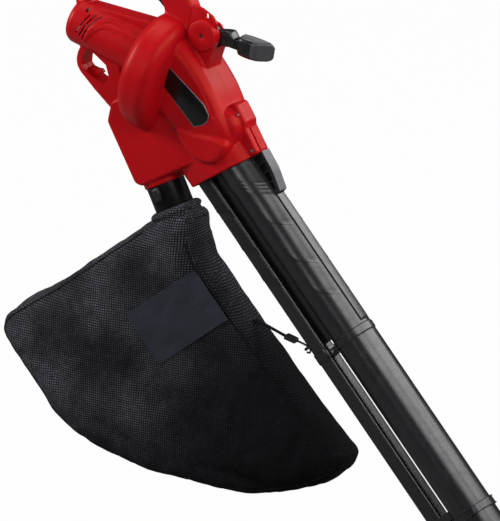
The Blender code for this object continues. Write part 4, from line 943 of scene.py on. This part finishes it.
def puffOut(body):
    # the closed bag is filled with air for a few frames, as cloth
    rest = [vertex.co.copy() for vertex in body.data.vertices]
    pick(body)
    cloth = body.modifiers.new("air", "CLOTH")
    cloth.settings.use_pressure = True
    cloth.settings.uniform_pressure_force = bag["pressure"]
    cloth.settings.quality = bag["quality"]
    cloth.settings.mass = 0.25
    cloth.settings.effector_weights.gravity = 0
    cloth.collision_settings.use_collision = False
    cloth.point_cache.frame_start = 1
    cloth.point_cache.frame_end = bag["frames"]
    for step in range(1, bag["frames"] + 1):
        bpy.context.scene.frame_set(step)
    bpy.ops.object.modifier_apply(modifier="air")
    bpy.context.scene.frame_set(1)
    for vertex, old in zip(body.data.vertices, rest):
        move = vertex.co - old
        if move.length > bag["cap"]:
            vertex.co = old + move * (bag["cap"] / move.length)


def ropeAlong(name, points, radius, place, sides=8):
    # a thin rope through points of the form (x, y, z)
    rings = []
    across = Vector((0, 1, 0))
    turns = [2 * pi * k / sides for k in range(sides)]
    for i, point in enumerate(points):
        ahead = (Vector(points[min(i + 1, len(points) - 1)]) - Vector(points[max(i - 1, 0)])).normalized()
        out = ahead.cross(across).normalized()
        rings.append([Vector(point) + radius * (cos(turn) * across + sin(turn) * out) for turn in turns])
    return skin(name, rings, place)


def onCloth(body, x, y, z, lift):
    # the nearest place on the bag, lifted off the cloth
    spot, normal = body.closest_point_on_mesh(uprightPlace @ (Vector((x, y, z)) * mm))[1:3]
    return uprightPlace.inverted() @ (spot + normal * lift * mm) / mm


def dentAt(x, z):
    depth = 0.0
    for cx, cz, reach, width, angle, height in bagDents:
        c, d = cos(radians(angle)), sin(radians(angle))
        u, v = (x - cx) * c + (z - cz) * d, -(x - cx) * d + (z - cz) * c
        depth += height * exp(-(u / reach) ** 2 - (v / width) ** 2)
    return depth


def crumple(body):
    # dents and folds on both side panels, and a little unevenness along the edge
    inverse = uprightPlace.inverted()
    for vertex in body.data.vertices:
        at = inverse @ vertex.co / mm
        side = 1 if at.y > 0 else -1
        away = edgeDistance(at.x, at.z, bagOutline)
        fold = noise.fractal(Vector((at.x * 0.012, at.z * 0.008, side * 3.0)), 1.0, 2.0, 4)
        crease = noise.fractal(Vector((at.x * 0.03, at.z * 0.022, side * 7.0)), 1.0, 2.0, 3)
        wave = noise.fractal(Vector((at.x * 0.022, at.z * 0.022, at.y * 0.012 + 5)), 1.0, 2.0, 3)
        dent = dentAt(at.x if side < 0 else -at.x - 130, at.z)
        at.y += side * (min(1, away / 30) * (dent + 4.0 * fold) + 1.8 * crease - 4)
        grow = 1 + max(0.0, 1 - away / 34) * 0.011 * wave
        at.x, at.z = -140 + (at.x + 140) * grow, -430 + (at.z + 430) * grow
        vertex.co = uprightPlace @ (at * mm)


def cuffForm():
    # a stiff ring of cloth, gathered into small uneven pleats
    rings = []
    for i in range(180):
        turn = 2 * pi * i / 180
        gather = 0.9 * sin(turn * 23 + 2.0 * sin(turn * 5)) + 0.7 * sin(turn * 37 + 1.0)
        outer = [(x, r + (gather if r > 42 else 0)) for x, r in cuffRows]
        rings.append([(x + 0.25 * gather, -r * sin(turn), r * cos(turn)) for x, r in outer])
    return skin("cuff", rings, neckPlace, around=True)


def shapeBag():
    body = skin("bag_shell", [[(x, y, z) for x, z in insetOutline(bagOutline, inset)]
                              for y, inset in bag["layers"]], uprightPlace)
    recast(body, bag["voxel"], 3)
    puffOut(body)
    useModifier(body, "SUBSURF", levels=1, render_levels=1)
    crumple(body)
    combine(body, [cuffForm()])
    recast(body, bag["skinVoxel"], 3)
    return carve(body, rod("neck_room", 40, 92, 40.5, neckPlace, 96))


def makePiping(body):
    course = smoothRows(insetOutline(bagOutline, bag["seam"]), 14)
    course = [(x, z) for x, z in course if hypot(x + 145, z + 122) > 66]
    for side in (-1, 1):
        seam = [onCloth(body, x, side * 54, z, 0.2) for x, z in course]
        finishCloth(ropeAlong("bag_piping", seam, 1.7, uprightPlace), tapeCloth)


def finishBag(body):
    finishCloth(body, bagCloth, ["bag_gusset", "bag_side_left", "bag_side_right", "bag_collar"])


def makePatch(body):
    # a coated sheet that lies on the cloth between its four corners
    verts, faces = [], []
    for i in range(33):
        for j in range(23):
            u, v = i / 32, j / 22
            shares = ((1 - u) * (1 - v), u * (1 - v), u * v, (1 - u) * v)
            x, z = [sum(share * corner[k] for share, corner in zip(shares, patchCorners)) for k in (0, 1)]
            verts.append((x, onCloth(body, x, -70, z, 1.2).y - 0.4, z))
            if i < 32 and j < 22:
                faces.append([i * 23 + j, i * 23 + j + 1, (i + 1) * 23 + j + 1, (i + 1) * 23 + j])
    patch = meshPiece("bag_patch_sheet", verts, faces, uprightPlace)
    useModifier(patch, "SOLIDIFY", thickness=0.0012, offset=0)
    finishCloth(patch, patchCoat, ["bag_patch"])


def makeStrap():
    # an elastic tape between the bag's edge and the hook on the tube
    strapNode = nodes["bag_strap"]
    inside = toolPlace.inverted() @ strapNode.matrix_world
    corners = sorted((inside @ vertex.co / mm for vertex in strapNode.data.vertices), key=lambda p: p.x)
    half = len(corners) // 2
    start, end = [sum(part, Vector()) / half for part in (corners[:half], corners[half:])]
    ahead, wide = (end - start).normalized(), Vector((0, 1, 0))
    lift = ahead.cross(wide)
    rings = []
    for i in range(33):
        t = i / 32
        turn = 0.08 * sin(2 * pi * t)
        across, out = wide * cos(turn) + lift * sin(turn), lift * cos(turn) - wide * sin(turn)
        centre = start.lerp(end, t) + lift * 0.5 * sin(pi * t)
        rings.append([tuple(centre + across * a + out * b) for a, b in roundedRing(5.9, 1.0, 0.9, 3)])
    strap = skin("bag_strap_tape", rings)
    finishCloth(strap, tapeCloth, ["bag_strap"])
    (end - start).length * mm


bagBody = shapeBag()
makePiping(bagBody)
finishBag(bagBody)
makePatch(bagBody)
makeStrap()
print("bag made")


# floor

def addFloor():
    low = min(cadBounds[0][2], cadBounds[1][2])
    bpy.ops.mesh.primitive_plane_add(size=14, location=(0, 0, low - 0.004))
    floor = bpy.context.object
    floor.name = "floor"
    material, place, shader = startMaterial("floor_look", Roughness=0.9, Specular_IOR_Level=0.1)
    feed(shader, "Base Color", place.noise(2.0).between((0.20, 0.20, 0.20), (0.22, 0.22, 0.22)))
    tree = material.node_tree
    seen = tree.nodes.new("ShaderNodeEmission")
    seen.inputs["Color"].default_value = (1, 1, 1, 1)
    path = Wire(tree, tree.nodes.new("ShaderNodeLightPath").outputs["Is Camera Ray"])
    mix = tree.nodes.new("ShaderNodeMixShader")
    tree.links.new((path * 0.985).socket, mix.inputs[0])
    tree.links.new(shader.outputs[0], mix.inputs[1])
    tree.links.new(seen.outputs[0], mix.inputs[2])
    tree.links.new(mix.outputs[0], tree.nodes["Material Output"].inputs["Surface"])
    floor.data.materials.append(material)


def addWorld():
    world = bpy.data.worlds.new("studio")
    bpy.context.scene.world = world
    world.use_nodes = True
    tree = world.node_tree
    back = tree.nodes["Background"]
    back.inputs["Color"].default_value = (1, 1, 1, 1)
    back.inputs["Strength"].default_value = 0.05
    seen = tree.nodes.new("ShaderNodeBackground")
    seen.inputs["Color"].default_value = (1, 1, 1, 1)
    seen.inputs["Strength"].default_value = 1.0
    path = tree.nodes.new("ShaderNodeLightPath")
    mix = tree.nodes.new("ShaderNodeMixShader")
    tree.links.new(path.outputs["Is Camera Ray"], mix.inputs[0])
    tree.links.new(back.outputs[0], mix.inputs[1])
    tree.links.new(seen.outputs[0], mix.inputs[2])
    tree.links.new(mix.outputs[0], tree.nodes["World Output"].inputs["Surface"])


addFloor()
addWorld()
